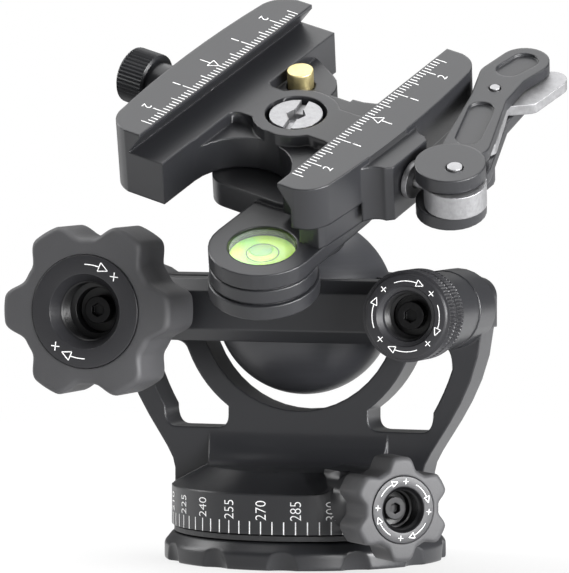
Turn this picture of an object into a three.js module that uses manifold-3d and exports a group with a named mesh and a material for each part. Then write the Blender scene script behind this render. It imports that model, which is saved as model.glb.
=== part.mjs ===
// Ball head for a camera tripod, with a lever clamp on the ball
// Millimetres and degrees. +Z is up and the front of the head faces -Y.
// The origin is on the pan axis, at the underside of the mounting disk.
import * as THREE from 'three';
import { mergeVertices } from 'three/addons/utils/BufferGeometryUtils.js';
import Module from 'manifold-3d';

const wasm = await Module();
wasm.setup();

// Clearances and cutting overrun
const touchGap = 0.3;
const runningGap = 0.35;
const overrun = 1;

// Mounting disk and tripod thread
const diskRadius = 29;
const diskRimHeight = 3.4;
const diskHeight = 5.5;
const diskTopRadius = 27.3;
const fluteCount = 12;
const fluteRadius = 5;
const fluteDepth = 1.5;
const fluteLean = 16;
const fluteStart = -19.5;
const hubRadius = 19.6;
const hubHeight = 10.2;
const hubGrooveDepth = 1.5;
const insertRadius = 7.8;
const insertCollarRadius = 9.4;
const insertCollarHeight = 2;
const insertHeight = 14;
const socketRadius = 4.1;

// Pan bearing and the foot of the turning body
const bearingHeight = 1;
const bearingRadius = 27;
const bodyRadius = 27.5;
const scaleHeight = 8.1;
const shoulderRadius = 20;
const shoulderRise = 3.9;
const coveRadius = 7;
const wellHeadroom = 0.6;

// Yoke plate
const ballHeight = 52;
const plateFront = 4.5;
const plateBack = 3.5;
const waistHalfWidth = 27;
const waistHeight = 18;
const waistPull = 5;
const legPullWidth = 38.4;
const legPullHeight = 32;
const earHalfWidth = 39.6;
const earRootHeight = 48;
const earCornerRadius = 4;
const earBack = 5.5;
const legWidth = 4.7;
const cradleRadius = 21.6;
const cradleWall = 4.3;
const windowFloorDrop = 25.4;
const windowHeadroom = 0.9;
const windowFoot = 15.2;
const windowCorner = 2.6;

// Ball, its collar and the front clamp bar
const ballRadius = 18.4;
const collarDrop = 6.6;
const collarRise = 6.1;
const collarRadius = 22.2;
const knobSpacing = 33;
const earBossRadius = 8.1;
const earBossFront = 10;
const barFront = 21.8;
const barEndRadius = 7.9;
const barChamfer = 2.5;

// Main knob
const studRadius = 3;
const studRecess = 0.6;
const mainWasherRadius = 8.4;
const mainKnobRadius = 18.1;
const mainKnobValley = 14.7;
const mainKnobBack = 24.4;
const mainKnobFront = 38.8;
const mainCoreRadius = 11.4;
const mainBoreRadius = 7.6;
const mainBoreStepRadius = 6.2;
const mainBoreFloorRadius = 4.6;
const mainBoreStepDepth = 3.4;
const mainBoreDepth = 9.6;
const mainFloorThickness = 1.4;
const knobLobes = 6;
const capScrewRadius = 2.8;
const capScrewHeight = 2.4;
const capSocketRadius = 1.4;
const capSocketDepth = 1.2;

// Tension knob
const tensionWasherRadius = 6.6;
const tensionKnobRadius = 9.1;
const tensionFaceRadius = 7.9;
const tensionKnobBack = 23.6;
const tensionKnobFront = 33.4;
const tensionGrooveDepth = 0.6;
const tensionGrooveWidth = 0.9;
const tensionBoreRadius = 6.1;
const tensionBoreFloorRadius = 4;
const tensionBoreDepth = 5.6;

// Pan lock
const panKnobTurn = 45;
const panKnobHeight = 13.6;
const panBossRadius = 7;
const panBossReach = 34.6;
const panSaddleHalfWidth = 5;
const panSaddleFlare = 6.6;
const panSaddleRise = 4.8;
const panKnobRadius = 10.5;
const panKnobValley = 8.3;
const panLobePhase = 30;
const panKnobBack = 36;
const panKnobFront = 45.5;
const panCoreRadius = 6.7;
const panBoreRadius = 4.5;
const panBoreFloorRadius = 3.4;
const panBoreDepth = 5.6;
const panFloorThickness = 1.4;
const panStudRadius = 2.4;
const panCapRadius = 2.3;
const panCapHeight = 1.8;
const panCapSocketRadius = 1.1;
const shoeRadius = 2.4;
const shoeLength = 5.5;
const retainerRadius = 2;
const retainerRecess = 1;
const retainerSpacing = 120;

// Pose of the ball
const frontLean = 30.15;
const sideLean = 7.81;
const swivelTurn = 71.74;

// Ball stem, heights above the ball centre
const stemFootRadius = 9;
const stemFootHeight = 18.6;
const stemNeckRadius = 6;
const stemNeckBottom = 20.6;
const stemNeckTop = 25;
const stemHeadRadius = 8;
const stemHeadBottom = 27;
const stemBoreDepth = 9;

// Clamp: drops are measured down from the jaw tops
const jawTop = 51.5;
const clampThickness = 14.5;
const jawHalfLength = 29.6;
const jawGap = 33.5;
const jawMidReach = 26.95;
const jawEndReach = 20.5;
const jawShoulderLength = 24.6;
const jawShoulderReach = 25.6;
const jawCornerLength = 28.6;
const jawCornerReach = 24.6;
const railSetback = 0.95;
const jawLipHeight = 0.9;
const dovetailUndercut = 3;
const floorDrop = 5;
const pocketDrop = 7.5;
const railDrop = 9.5;
const floorWall = 19.2;
const notchRadius = 10.9;
const leftNotchAlong = -19.5;
const leftNotchAcross = 0.6;
const rightNotchAlong = 24.3;
const rightNotchAcross = -4.5;
const nearRailEnd = 26.5;
const farStripEdge = 11.3;
const nearStripEdge = -13;
const neckHalfWidth = 5.7;
const neckFlare = 2.6;
const screwPadRadius = 8.9;
const detentPadRadius = 7.4;
const detentPadAlong = 18.5;
const detentPadAcross = 12;
const detentPadEndRadius = 4.2;
const clampScrewRadius = 5.4;
const clampScrewHeadHeight = 3.6;
const clampScrewWellRadius = 6.3;
const clampScrewShankRadius = 3;
const slotWidth = 1.6;
const slotDepth = 1.1;
const slotTurn = 15;
const hexRadius = 2.1;
const hexDepth = 2.2;

// Detent pin
const detentAlong = 12.4;
const detentAcross = 7.7;
const detentRadius = 2.7;
const detentTopDrop = 3.8;
const detentLength = 5;
const detentTravel = 2.6;
const detentSpringRadius = 2.2;
const detentSpringBore = 1.5;
const detentSpringLength = 1.8;

// Jaw guides and springs
const guideInset = 13.4;
const guideRadius = 1.3;
const guideDrop = 7.1;
const guideBaseDepth = 4.4;
const guideJawReach = 25;
const jawSpringSpacing = 11.5;
const jawSpringRadius = 1.3;
const jawSpringBore = 0.8;
const jawSpringDepth = 4;

// Adjuster behind the fixed jaw
const adjusterAlong = -2.2;
const adjusterDrop = 7.4;
const adjusterRadius = 5.8;
const adjusterBack = 39.8;
const adjusterFront = 33.2;
const adjusterCollarRadius = 4.3;
const adjusterCollarFront = 29.4;
const adjusterScrewRadius = 2;
const adjusterScrewEnd = 19.8;
const adjusterScrewHead = 36.5;

// Lever, its cam plates, barrel and drawbar
const leverAlong = -5.4;
const leverPivot = -42;
const camOffset = 2;
const camPhase = 60;
const camRadius = 7;
const leverTopDrop = 1;
const leverArmStep = 0.5;
const leverUpperThickness = 3;
const barrelRadius = 6.2;
const barrelDrop = 4.3;
const barrelHeight = 4.9;
const leverLowerDrop = 9.5;
const leverLowerThickness = 2.8;
const lowerArmDrop = 6.8;
const lowerArmThickness = 2.6;
const webStart = 1.2;
const webEnd = 9.5;
const leverPinRadius = 1.5;
const leverPinProud = 0.3;
const drawbarRadius = 1.4;
const drawbarEnd = -13.5;
const drawbarDrop = 7;
const lugHalfWidth = 7;
const lugReach = 31.4;
const lugCorner = 1.2;
const lugFlare = 5;
const lugTopDrop = 1.4;
const lugBottomDrop = 13.6;
const thrustWasherRadius = 3.9;
const thrustWasherThickness = 1.2;
const armRootAlong = 3.5;
const armRootAcross = -38.8;
const armRootRadius = 4.7;
const armElbowAlong = 20.4;
const armElbowAcross = -32.9;
const armElbowRadius = 3.7;
const armKneeAlong = 29.4;
const armKneeAcross = -30.5;
const armKneeRadius = 4.9;
const armTipAlong = 35.8;
const armTipAcross = -31.3;
const armTipRadius = 5.1;
const pocketDepth = 0.6;
const pocketMargin = 2.2;
const rivetAlong = 24;
const rivetAcross = -32;
const rivetRadius = 1;
const catchDrop = 4.3;
const catchThickness = 2.2;
const catchTailAlong = 10;
const catchTailAcross = -39;
const catchTailRadius = 2.2;
const catchEyeRadius = 2.9;
const catchBendAlong = 28;
const catchBendAcross = -37.4;
const catchBendRadius = 2.4;
const catchTabAlong = 36.6;
const catchTabAcross = -37.4;
const catchTabRadius = 3;

// Bubble level on its arm
const levelAlong = -29.6;
const levelAcross = -12.3;
const levelArmRoot = -8;
const levelRadius = 10.7;
const levelFootRadius = 11.1;
const levelDrop = 16;
const levelArmThickness = 3.5;
const levelHeight = 10.3;
const levelBandHeight = 3.4;
const levelGrooveDepth = 0.5;
const levelGrooveWidth = 0.4;
const hubBlockHalfLength = 17;
const hubBlockHalfWidth = 11.5;
const hubBlockCorner = 5;
const hubBlockHeight = 5.5;
const levelWindowRadius = 6.9;
const vialDepth = 6.2;
const lensThickness = 1.2;
const lensSink = 0.5;
const bubbleRadius = 2.2;
const bubbleDrift = 1.2;
const bubbleDepth = 0.9;

// Smoothness of round shapes, in sides per turn
const fine = 48;
const medium = 28;
const coarse = 16;
const ballSides = 40;
const lobeSteps = 12;
const curveSteps = 8;
const fullTurn = 360;
const quarterTurn = 90;
const hexagonSides = 6;
const joinDistance = 0.0001;

const radians = THREE.MathUtils.degToRad;

// Closed solid from any closed geometry
function solid(geometry) {
  const bare = new THREE.BufferGeometry();
  bare.setAttribute('position', geometry.getAttribute('position').clone());
  if (geometry.index) {
    bare.setIndex(geometry.index.clone());
  }
  const merged = mergeVertices(bare, joinDistance);
  return new wasm.Manifold(new wasm.Mesh({
    numProp: 3,
    vertProperties: new Float32Array(merged.getAttribute('position').array),
    triVerts: new Uint32Array(merged.index.array),
  }));
}

function mesh(name, body, material) {
  const data = body.getMesh();
  const geometry = new THREE.BufferGeometry();
  const corners = new Float32Array(data.vertProperties);
  geometry.setAttribute('position', new THREE.BufferAttribute(corners, 3));
  geometry.setIndex(new THREE.BufferAttribute(new Uint32Array(data.triVerts), 1));
  geometry.computeVertexNormals();
  const made = new THREE.Mesh(geometry, material);
  made.name = name;
  return made;
}

// A turned body from radius and height pairs, about +Z, its profile running upwards outside
function turned(profile, sides = medium) {
  const points = profile.map(([radius, height]) => new THREE.Vector2(radius, height));
  const geometry = new THREE.LatheGeometry(points, sides);
  geometry.rotateX(radians(quarterTurn));
  return solid(geometry);
}

function rod(radius, bottom, top, sides = medium) {
  return turned([[0, bottom], [radius, bottom], [radius, top], [0, top]], sides);
}

function block(xLow, xHigh, yLow, yHigh, zLow, zHigh) {
  const geometry = new THREE.BoxGeometry(xHigh - xLow, yHigh - yLow, zHigh - zLow);
  geometry.translate((xLow + xHigh) / 2, (yLow + yHigh) / 2, (zLow + zHigh) / 2);
  return solid(geometry);
}

// A flat outline raised along +Z
function slab(outline, bottom, top) {
  const options = { depth: top - bottom, bevelEnabled: false, curveSegments: curveSteps };
  const geometry = new THREE.ExtrudeGeometry(outline, options);
  geometry.translate(0, 0, bottom);
  return solid(geometry);
}

function sphere(radius, sides) {
  const geometry = new THREE.SphereGeometry(radius, sides, sides / 2);
  geometry.rotateX(radians(quarterTurn));
  return solid(geometry);
}

// A body made about +Z laid over so that its height becomes its reach to the front
function facingFront(body) {
  return body.rotate([quarterTurn, 0, 0]);
}

// The same, with its height as its reach to the back
function facingBack(body) {
  return body.rotate([-quarterTurn, 0, 0]);
}

// The same, with its height as its reach along +X
function facingSide(body) {
  return body.rotate([0, quarterTurn, 0]);
}

function mirrored(body) {
  return body.mirror([1, 0, 0]);
}

function both(body) {
  return body.add(mirrored(body));
}

function polygon(points) {
  return new THREE.Shape(points.map(([x, y]) => new THREE.Vector2(x, y)));
}

// A rectangle with round corners
function roundedRectangle(halfLength, halfWidth, corner) {
  const shape = new THREE.Shape();
  const quarter = Math.PI / 2;
  const x = halfLength - corner;
  const y = halfWidth - corner;
  [[x, y], [-x, y], [-x, -y], [x, -y]].forEach(([cx, cy], i) => {
    shape.absarc(cx, cy, corner, i * quarter, (i + 1) * quarter, false);
  });
  return shape;
}

// Two circles joined by their outer tangents
function link(fromX, fromY, fromRadius, toX, toY, toRadius) {
  const length = Math.hypot(toX - fromX, toY - fromY);
  const heading = Math.atan2(toY - fromY, toX - fromX);
  const side = Math.acos((fromRadius - toRadius) / length);
  const shape = new THREE.Shape();
  shape.absarc(fromX, fromY, fromRadius, heading + side, heading - side + Math.PI * 2, false);
  shape.absarc(toX, toY, toRadius, heading - side, heading + side, false);
  return shape;
}

// A grip outline whose radius swings between valley and tip
function lobedOutline(tip, valley, phase) {
  const riseStartShare = -0.95;
  const riseEndShare = 0.7;
  const count = knobLobes * lobeSteps;
  const points = [];
  for (let i = 0; i < count; i += 1) {
    const angle = (i / count) * Math.PI * 2;
    const wave = Math.cos(knobLobes * (angle - radians(phase)));
    const share = THREE.MathUtils.smoothstep(wave, riseStartShare, riseEndShare);
    const radius = valley + (tip - valley) * share;
    points.push([radius * Math.cos(angle), radius * Math.sin(angle)]);
  }
  return polygon(points);
}

function material(color, roughness, metalness) {
  return new THREE.MeshStandardMaterial({ color, roughness, metalness });
}

const blackAnodised = material(0x3b3c3f, 0.42, 0.75);
const greyAnodised = material(0x505155, 0.45, 0.7);
const rubber = material(0x46474a, 0.85, 0);
const steel = material(0xc9c9cb, 0.25, 1);
const brass = material(0xc8a050, 0.3, 1);
const nylon = material(0x202124, 0.6, 0);
const fluid = material(0xc8e86a, 0.2, 0);
const lensClear = material(0xe8f0e0, 0.1, 0);
const bubbleGrey = material(0x8fa28a, 0.15, 0);

// Heights that follow from the stack of parts
const bearingBottom = diskHeight + touchGap;
const bodyBottom = bearingBottom + bearingHeight + touchGap;
const scaleTop = bodyBottom + scaleHeight;
const shoulderTop = scaleTop + shoulderRise;
const hubTop = diskHeight + hubHeight;
const wellRadius = hubRadius + runningGap;
const wellTop = hubTop + wellHeadroom;
const collarBottom = ballHeight - collarDrop;
const collarTop = ballHeight + collarRise;
const tipReach = hubRadius - hubGrooveDepth + touchGap;

function mountingDisk() {
  let body = turned([
    [0, 0],
    [diskRadius, 0],
    [diskRadius, diskRimHeight],
    [diskTopRadius, diskHeight],
    [hubRadius, diskHeight],
    [hubRadius, panKnobHeight - hubGrooveDepth],
    [hubRadius - hubGrooveDepth, panKnobHeight],
    [hubRadius, panKnobHeight + hubGrooveDepth],
    [hubRadius, hubTop],
    [0, hubTop],
  ], fine);
  for (let i = 0; i < fluteCount; i += 1) {
    const flute = rod(fluteRadius, -hubTop, hubTop, coarse)
      .rotate([0, fluteLean, 0])
      .translate([diskRadius + fluteRadius - fluteDepth, 0, 0])
      .rotate([0, 0, fluteStart + (i * fullTurn) / fluteCount]);
    body = body.subtract(flute);
  }
  return body
    .subtract(rod(insertCollarRadius + touchGap, -overrun, insertCollarHeight + touchGap))
    .subtract(rod(insertRadius + touchGap, 0, hubTop + overrun));
}

function threadInsert() {
  const body = turned([
    [0, 0],
    [insertCollarRadius, 0],
    [insertCollarRadius, insertCollarHeight],
    [insertRadius, insertCollarHeight],
    [insertRadius, insertHeight],
    [0, insertHeight],
  ], medium);
  return body.subtract(rod(socketRadius, -overrun, insertHeight + overrun, coarse));
}

function panBearing() {
  const ring = rod(bearingRadius, bearingBottom, bearingBottom + bearingHeight, fine);
  return ring.subtract(rod(wellRadius, bearingBottom - overrun, bodyBottom, medium));
}

// Outline of the yoke plate, seen from the front
function yokeOutline() {
  const shape = new THREE.Shape();
  const corner = earCornerRadius;
  const pull = waistHeight + waistPull;
  const quarter = Math.PI / 2;
  shape.moveTo(-waistHalfWidth, bodyBottom + overrun);
  shape.lineTo(waistHalfWidth, bodyBottom + overrun);
  shape.lineTo(waistHalfWidth, waistHeight);
  shape.bezierCurveTo(
    waistHalfWidth, pull, legPullWidth, legPullHeight, earHalfWidth, earRootHeight,
  );
  shape.absarc(earHalfWidth - corner, collarTop - corner, corner, 0, quarter, false);
  shape.absarc(-earHalfWidth + corner, collarTop - corner, corner, quarter, Math.PI, false);
  shape.lineTo(-earHalfWidth, earRootHeight);
  shape.bezierCurveTo(
    -legPullWidth, legPullHeight, -waistHalfWidth, pull, -waistHalfWidth, waistHeight,
  );
  return shape;
}

// One window, between the cradle wall and the leg
function windowOutline() {
  const top = collarBottom - windowHeadroom;
  const windowFloor = ballHeight - windowFloorDrop;
  const innerRadius = cradleRadius + cradleWall;
  const legInside = waistHalfWidth - legWidth;
  const leg = new THREE.CubicBezierCurve(
    new THREE.Vector2(legInside, waistHeight),
    new THREE.Vector2(legInside, waistHeight + waistPull),
    new THREE.Vector2(legPullWidth - legWidth, legPullHeight),
    new THREE.Vector2(earHalfWidth - legWidth, earRootHeight),
  );
  const outer = leg.getPoints(curveSteps * 2)
    .filter(({ y }) => y > windowFloor + windowCorner && y < top - windowCorner)
    .map(({ x, y }) => [x, y]);
  const topAngle = Math.asin((top - ballHeight) / innerRadius);
  const footAngle = -Math.acos(windowFoot / innerRadius);
  const inner = [];
  for (let i = 0; i <= curveSteps; i += 1) {
    const angle = topAngle + ((footAngle - topAngle) * i) / curveSteps;
    inner.push([innerRadius * Math.cos(angle), ballHeight + innerRadius * Math.sin(angle)]);
  }
  const [firstX] = outer[0];
  const [lastX] = outer[outer.length - 1];
  const [innerX] = inner[0];
  const shape = new THREE.Shape();
  shape.moveTo(windowFoot + windowCorner, windowFloor);
  shape.lineTo(firstX - windowCorner, windowFloor);
  shape.quadraticCurveTo(firstX, windowFloor, ...outer[0]);
  outer.slice(1).forEach((point) => shape.lineTo(...point));
  shape.quadraticCurveTo(lastX, top, lastX - windowCorner, top);
  shape.lineTo(innerX + windowCorner, top);
  shape.quadraticCurveTo(innerX, top, ...inner[1]);
  inner.slice(2).forEach((point) => shape.lineTo(...point));
  shape.lineTo(windowFoot, windowFloor + windowCorner);
  shape.quadraticCurveTo(windowFoot, windowFloor, windowFoot + windowCorner, windowFloor);
  return shape;
}

function upright(outline, back, front) {
  return slab(outline, -back, front).rotate([quarterTurn, 0, 0]);
}

// Foot with the scale band, the sloping shoulder and the coves up to the plate
function yokeFoot() {
  const foot = turned([
    [0, bodyBottom],
    [bodyRadius, bodyBottom],
    [bodyRadius, scaleTop],
    [shoulderRadius, shoulderTop],
    [0, shoulderTop],
  ], fine);
  const frontReach = plateFront + coveRadius;
  const backReach = plateBack + coveRadius;
  const axisHeight = shoulderTop + coveRadius;
  const cove = block(-shoulderRadius, shoulderRadius, -frontReach, backReach, scaleTop, axisHeight)
    .subtract(facingSide(rod(coveRadius, -bodyRadius, bodyRadius))
      .translate([0, -frontReach, axisHeight]))
    .subtract(facingSide(rod(coveRadius, -bodyRadius, bodyRadius))
      .translate([0, backReach, axisHeight]));
  const limit = rod(shoulderRadius, bodyBottom, axisHeight, fine);
  return foot.add(cove.intersect(limit));
}

// One ear with the boss that the clamp bar seats on
function yokeEar() {
  const ear = upright(yokeOutline(), earBack, plateFront)
    .intersect(block(cradleRadius, earHalfWidth + overrun, -earBossFront, earBack,
      earRootHeight, collarTop));
  const boss = facingFront(rod(earBossRadius, 0, earBossFront))
    .translate([knobSpacing, 0, ballHeight]);
  return ear.add(boss);
}

function panPost(radius, from, to, sides = coarse) {
  return facingFront(rod(radius, from, to, sides))
    .translate([0, 0, panKnobHeight])
    .rotate([0, 0, panKnobTurn]);
}

function studBore() {
  const front = barFront + overrun;
  return facingFront(rod(studRadius + touchGap, -front, front, coarse))
    .translate([knobSpacing, 0, ballHeight]);
}

// Round boss for the pan lock screw, flat below where it would meet the bearing ring
function panBoss() {
  const reach = panBossReach + overrun;
  return panPost(panBossRadius, hubRadius, panBossReach, medium)
    .intersect(block(-reach, reach, -reach, reach, bodyBottom, collarBottom));
}

// The scale band rises in a curve on both sides of the boss of the pan lock screw
function panSaddle() {
  const top = scaleTop + panSaddleRise;
  const flare = panSaddleHalfWidth + panSaddleFlare;
  const shape = new THREE.Shape();
  shape.moveTo(-flare, bodyBottom);
  shape.lineTo(flare, bodyBottom);
  shape.lineTo(flare, scaleTop);
  shape.quadraticCurveTo(panSaddleHalfWidth, scaleTop, panSaddleHalfWidth, top);
  shape.lineTo(-panSaddleHalfWidth, top);
  shape.quadraticCurveTo(-panSaddleHalfWidth, scaleTop, -flare, scaleTop);
  return facingFront(slab(shape, hubRadius, diskRadius))
    .rotate([0, 0, panKnobTurn])
    .intersect(rod(bodyRadius, bodyBottom, top, fine));
}

function bodyYoke() {
  const plate = upright(yokeOutline(), plateBack, plateFront);
  const opening = facingFront(rod(cradleRadius, -bodyRadius, bodyRadius, fine))
    .translate([0, 0, ballHeight]);
  const window = upright(windowOutline(), plateBack + overrun, plateFront + overrun);
  const collar = rod(collarRadius, collarBottom, collarTop, fine)
    .intersect(block(-diskRadius, diskRadius, -plateFront, diskRadius, 0, collarTop));
  let body = yokeFoot().add(plate)
    .subtract(opening)
    .subtract(both(window))
    .add(collar)
    .add(both(yokeEar()))
    .add(panBoss())
    .add(panSaddle())
    .subtract(sphere(ballRadius + runningGap, ballSides).translate([0, 0, ballHeight]))
    .subtract(both(studBore()))
    .subtract(rod(wellRadius, 0, wellTop, fine))
    .subtract(panPost(shoeRadius + touchGap, 0, panBossReach + overrun));
  for (const turn of [retainerSpacing, retainerSpacing * 2]) {
    const bore = panPost(retainerRadius + touchGap, 0, bodyRadius + overrun);
    body = body.subtract(bore.rotate([0, 0, turn]));
  }
  return body;
}

function frontClampBar() {
  const back = earBossFront + touchGap;
  const section = polygon([
    [back, collarBottom],
    [barFront - barChamfer, collarBottom],
    [barFront, collarBottom + barChamfer],
    [barFront, collarTop - barChamfer],
    [barFront - barChamfer, collarTop],
    [back, collarTop],
  ]);
  const beam = slab(section, -knobSpacing, knobSpacing)
    .rotate([quarterTurn, 0, 0])
    .rotate([0, 0, -quarterTurn]);
  const end = facingFront(turned([
    [0, back],
    [barEndRadius, back],
    [barEndRadius, barFront - barChamfer / 2],
    [barEndRadius - barChamfer / 2, barFront],
    [0, barFront],
  ])).translate([knobSpacing, 0, ballHeight]);
  return beam.add(both(end))
    .subtract(sphere(ballRadius + runningGap, ballSides).translate([0, 0, ballHeight]))
    .subtract(both(studBore()));
}

// Clamping stud, about +Z from the back of the ear to inside its knob
function clampingStud(top) {
  return rod(studRadius, -earBack + studRecess, top, coarse);
}

function washer(radius, bottom, top) {
  return rod(radius, bottom, top)
    .subtract(rod(studRadius + touchGap, bottom - overrun, top + overrun, coarse));
}

function capScrew(radius, height, socket, bottom) {
  const top = bottom + height;
  return rod(radius, bottom, top, coarse)
    .subtract(rod(socket, top - capSocketDepth, top + overrun, hexagonSides));
}

const mainCoreFront = mainKnobFront + touchGap;
const mainFloor = mainCoreFront - mainBoreDepth;

function mainKnobGrip() {
  return slab(lobedOutline(mainKnobRadius, mainKnobValley, 0), mainKnobBack, mainKnobFront)
    .subtract(rod(mainCoreRadius + touchGap, mainKnobBack - overrun, mainCoreFront, medium));
}

function mainKnobCore() {
  const body = turned([
    [0, mainKnobBack],
    [mainCoreRadius, mainKnobBack],
    [mainCoreRadius, mainCoreFront],
    [mainBoreRadius, mainCoreFront],
    [mainBoreStepRadius, mainCoreFront - mainBoreStepDepth],
    [mainBoreFloorRadius, mainCoreFront - mainBoreStepDepth],
    [mainBoreFloorRadius, mainFloor],
    [0, mainFloor],
  ]);
  const bore = rod(studRadius + touchGap, 0, mainFloor - mainFloorThickness, coarse);
  return body.subtract(bore);
}

const tensionFloor = tensionKnobFront - tensionBoreDepth;

function tensionKnob() {
  const middle = (tensionKnobBack + tensionKnobFront) / 2;
  const groove = tensionGrooveWidth / 2;
  const body = turned([
    [0, tensionKnobBack],
    [tensionKnobRadius, tensionKnobBack],
    [tensionKnobRadius, middle - groove],
    [tensionKnobRadius - tensionGrooveDepth, middle - groove],
    [tensionKnobRadius - tensionGrooveDepth, middle + groove],
    [tensionKnobRadius, middle + groove],
    [tensionFaceRadius, tensionKnobFront],
    [tensionBoreRadius, tensionKnobFront],
    [tensionBoreFloorRadius, tensionFloor],
    [0, tensionFloor],
  ], fine);
  const bore = rod(studRadius + touchGap, 0, tensionFloor - mainFloorThickness, coarse);
  return body.subtract(bore);
}

const panFloor = panKnobFront - panBoreDepth;

function panKnobGrip() {
  return slab(lobedOutline(panKnobRadius, panKnobValley, panLobePhase), panKnobBack, panKnobFront)
    .subtract(rod(panCoreRadius + touchGap, panKnobBack - overrun, panKnobFront + overrun));
}

function panKnobCore() {
  const body = turned([
    [0, panKnobBack],
    [panCoreRadius, panKnobBack],
    [panCoreRadius, panKnobFront],
    [panBoreRadius, panKnobFront],
    [panBoreFloorRadius, panFloor],
    [0, panFloor],
  ]);
  return body.subtract(rod(panStudRadius + touchGap, 0, panFloor - panFloorThickness, coarse));
}

function panLockScrew() {
  const back = tipReach + shoeLength + touchGap;
  return rod(panStudRadius, back, panFloor - panFloorThickness - touchGap, coarse);
}

// A plug whose 45 degree tip seats in the groove round the hub
function conePlug(radius, top) {
  return turned([[0, tipReach], [radius, tipReach + radius], [radius, top], [0, top]], coarse);
}

function ballStem() {
  const headTop = jawTop - clampThickness - touchGap;
  const body = turned([
    [0, stemFootRadius],
    [stemFootRadius, stemFootRadius],
    [stemFootRadius, stemFootHeight],
    [stemNeckRadius, stemNeckBottom],
    [stemNeckRadius, stemNeckTop],
    [stemHeadRadius, stemHeadBottom],
    [stemHeadRadius, headTop],
    [0, headTop],
  ]);
  return body
    .subtract(sphere(ballRadius + touchGap, ballSides))
    .subtract(rod(clampScrewShankRadius + touchGap, headTop - stemBoreDepth, headTop + overrun,
      coarse));
}

// Plan of the clamp: the far jaw is at +Y and the near edge is set back by a given amount
function clampOutline(setback) {
  const shape = new THREE.Shape();
  const bulge = jawMidReach * 2 - jawShoulderReach;
  shape.moveTo(jawHalfLength, -jawEndReach + setback);
  shape.lineTo(jawHalfLength, jawEndReach);
  shape.quadraticCurveTo(jawCornerLength, jawCornerReach, jawShoulderLength, jawShoulderReach);
  shape.quadraticCurveTo(0, bulge, -jawShoulderLength, jawShoulderReach);
  shape.quadraticCurveTo(-jawCornerLength, jawCornerReach, -jawHalfLength, jawEndReach);
  shape.lineTo(-jawHalfLength, -jawEndReach + setback);
  shape.quadraticCurveTo(-jawCornerLength, -jawCornerReach + setback,
    -jawShoulderLength, -jawShoulderReach + setback);
  shape.quadraticCurveTo(0, -bulge + setback, jawShoulderLength, -jawShoulderReach + setback);
  shape.quadraticCurveTo(jawCornerLength, -jawCornerReach + setback,
    jawHalfLength, -jawEndReach + setback);
  return shape;
}

// A section in the plane across the jaws, drawn as reach and height, run along the jaws
function alongJaws(section) {
  const length = jawHalfLength + overrun;
  return slab(polygon(section), -length, length)
    .rotate([quarterTurn, 0, 0])
    .rotate([0, 0, quarterTurn]);
}

function down(drop) {
  return jawTop - drop;
}

// A rod across the jaws, from one reach to another, at a place along them and a drop
function acrossRod(radius, from, to, along, drop, sides = coarse) {
  return facingBack(rod(radius, from, to, sides)).translate([along, 0, down(drop)]);
}

// Plan of the neck between the screw pad and the two strips, flared where it meets them
function neckOutline() {
  const flare = neckHalfWidth + neckFlare;
  const far = farStripEdge + touchGap;
  const near = nearStripEdge - touchGap;
  const shape = new THREE.Shape();
  shape.moveTo(-flare, near);
  shape.lineTo(flare, near);
  shape.quadraticCurveTo(neckHalfWidth, near, neckHalfWidth, near + neckFlare);
  shape.lineTo(neckHalfWidth, far - neckFlare);
  shape.quadraticCurveTo(neckHalfWidth, far, flare, far);
  shape.lineTo(-flare, far);
  shape.quadraticCurveTo(-neckHalfWidth, far, -neckHalfWidth, far - neckFlare);
  shape.lineTo(-neckHalfWidth, near + neckFlare);
  shape.quadraticCurveTo(-neckHalfWidth, near, -flare, near);
  return shape;
}

// Raised floor of the channel: two strips, the neck and the pad round the screw
function raisedFloor() {
  const length = jawHalfLength + overrun;
  const top = down(floorDrop);
  const bottom = down(pocketDrop);
  return block(-length, length, farStripEdge, jawMidReach, bottom, top)
    .add(block(-length, length, -floorWall, nearStripEdge, bottom, top))
    .add(slab(neckOutline(), bottom, top))
    .add(rod(screwPadRadius, bottom, top));
}

// Cut through the floor at the end by the level, under the near jaw as far as the rail
function leftNotch() {
  const low = down(clampThickness) - overrun;
  const high = down(0) + overrun;
  const end = -jawHalfLength - overrun;
  return rod(notchRadius, low, high, medium).translate([leftNotchAlong, leftNotchAcross, 0])
    .add(block(end, leftNotchAlong, -floorWall, leftNotchAcross + notchRadius, low, high))
    .add(block(end, -nearRailEnd, -jawMidReach - overrun, -floorWall + overrun, low, high));
}

// Cut through the floor at the other end, round the pad that holds the detent pin
function rightNotch() {
  const low = down(clampThickness) - overrun;
  const high = down(0) + overrun;
  const end = jawHalfLength + overrun;
  const pad = slab(link(detentAlong, detentAcross, detentPadRadius,
    detentPadAlong, detentPadAcross, detentPadEndRadius), low, high);
  return rod(notchRadius, low, high, medium).translate([rightNotchAlong, rightNotchAcross, 0])
    .add(block(rightNotchAlong, end, rightNotchAcross - notchRadius, farStripEdge, low, high))
    .add(block(detentAlong, rightNotchAlong + overrun, rightNotchAcross, farStripEdge, low, high))
    .subtract(pad);
}

function clampScrewTop() {
  return down(floorDrop) - touchGap;
}

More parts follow.
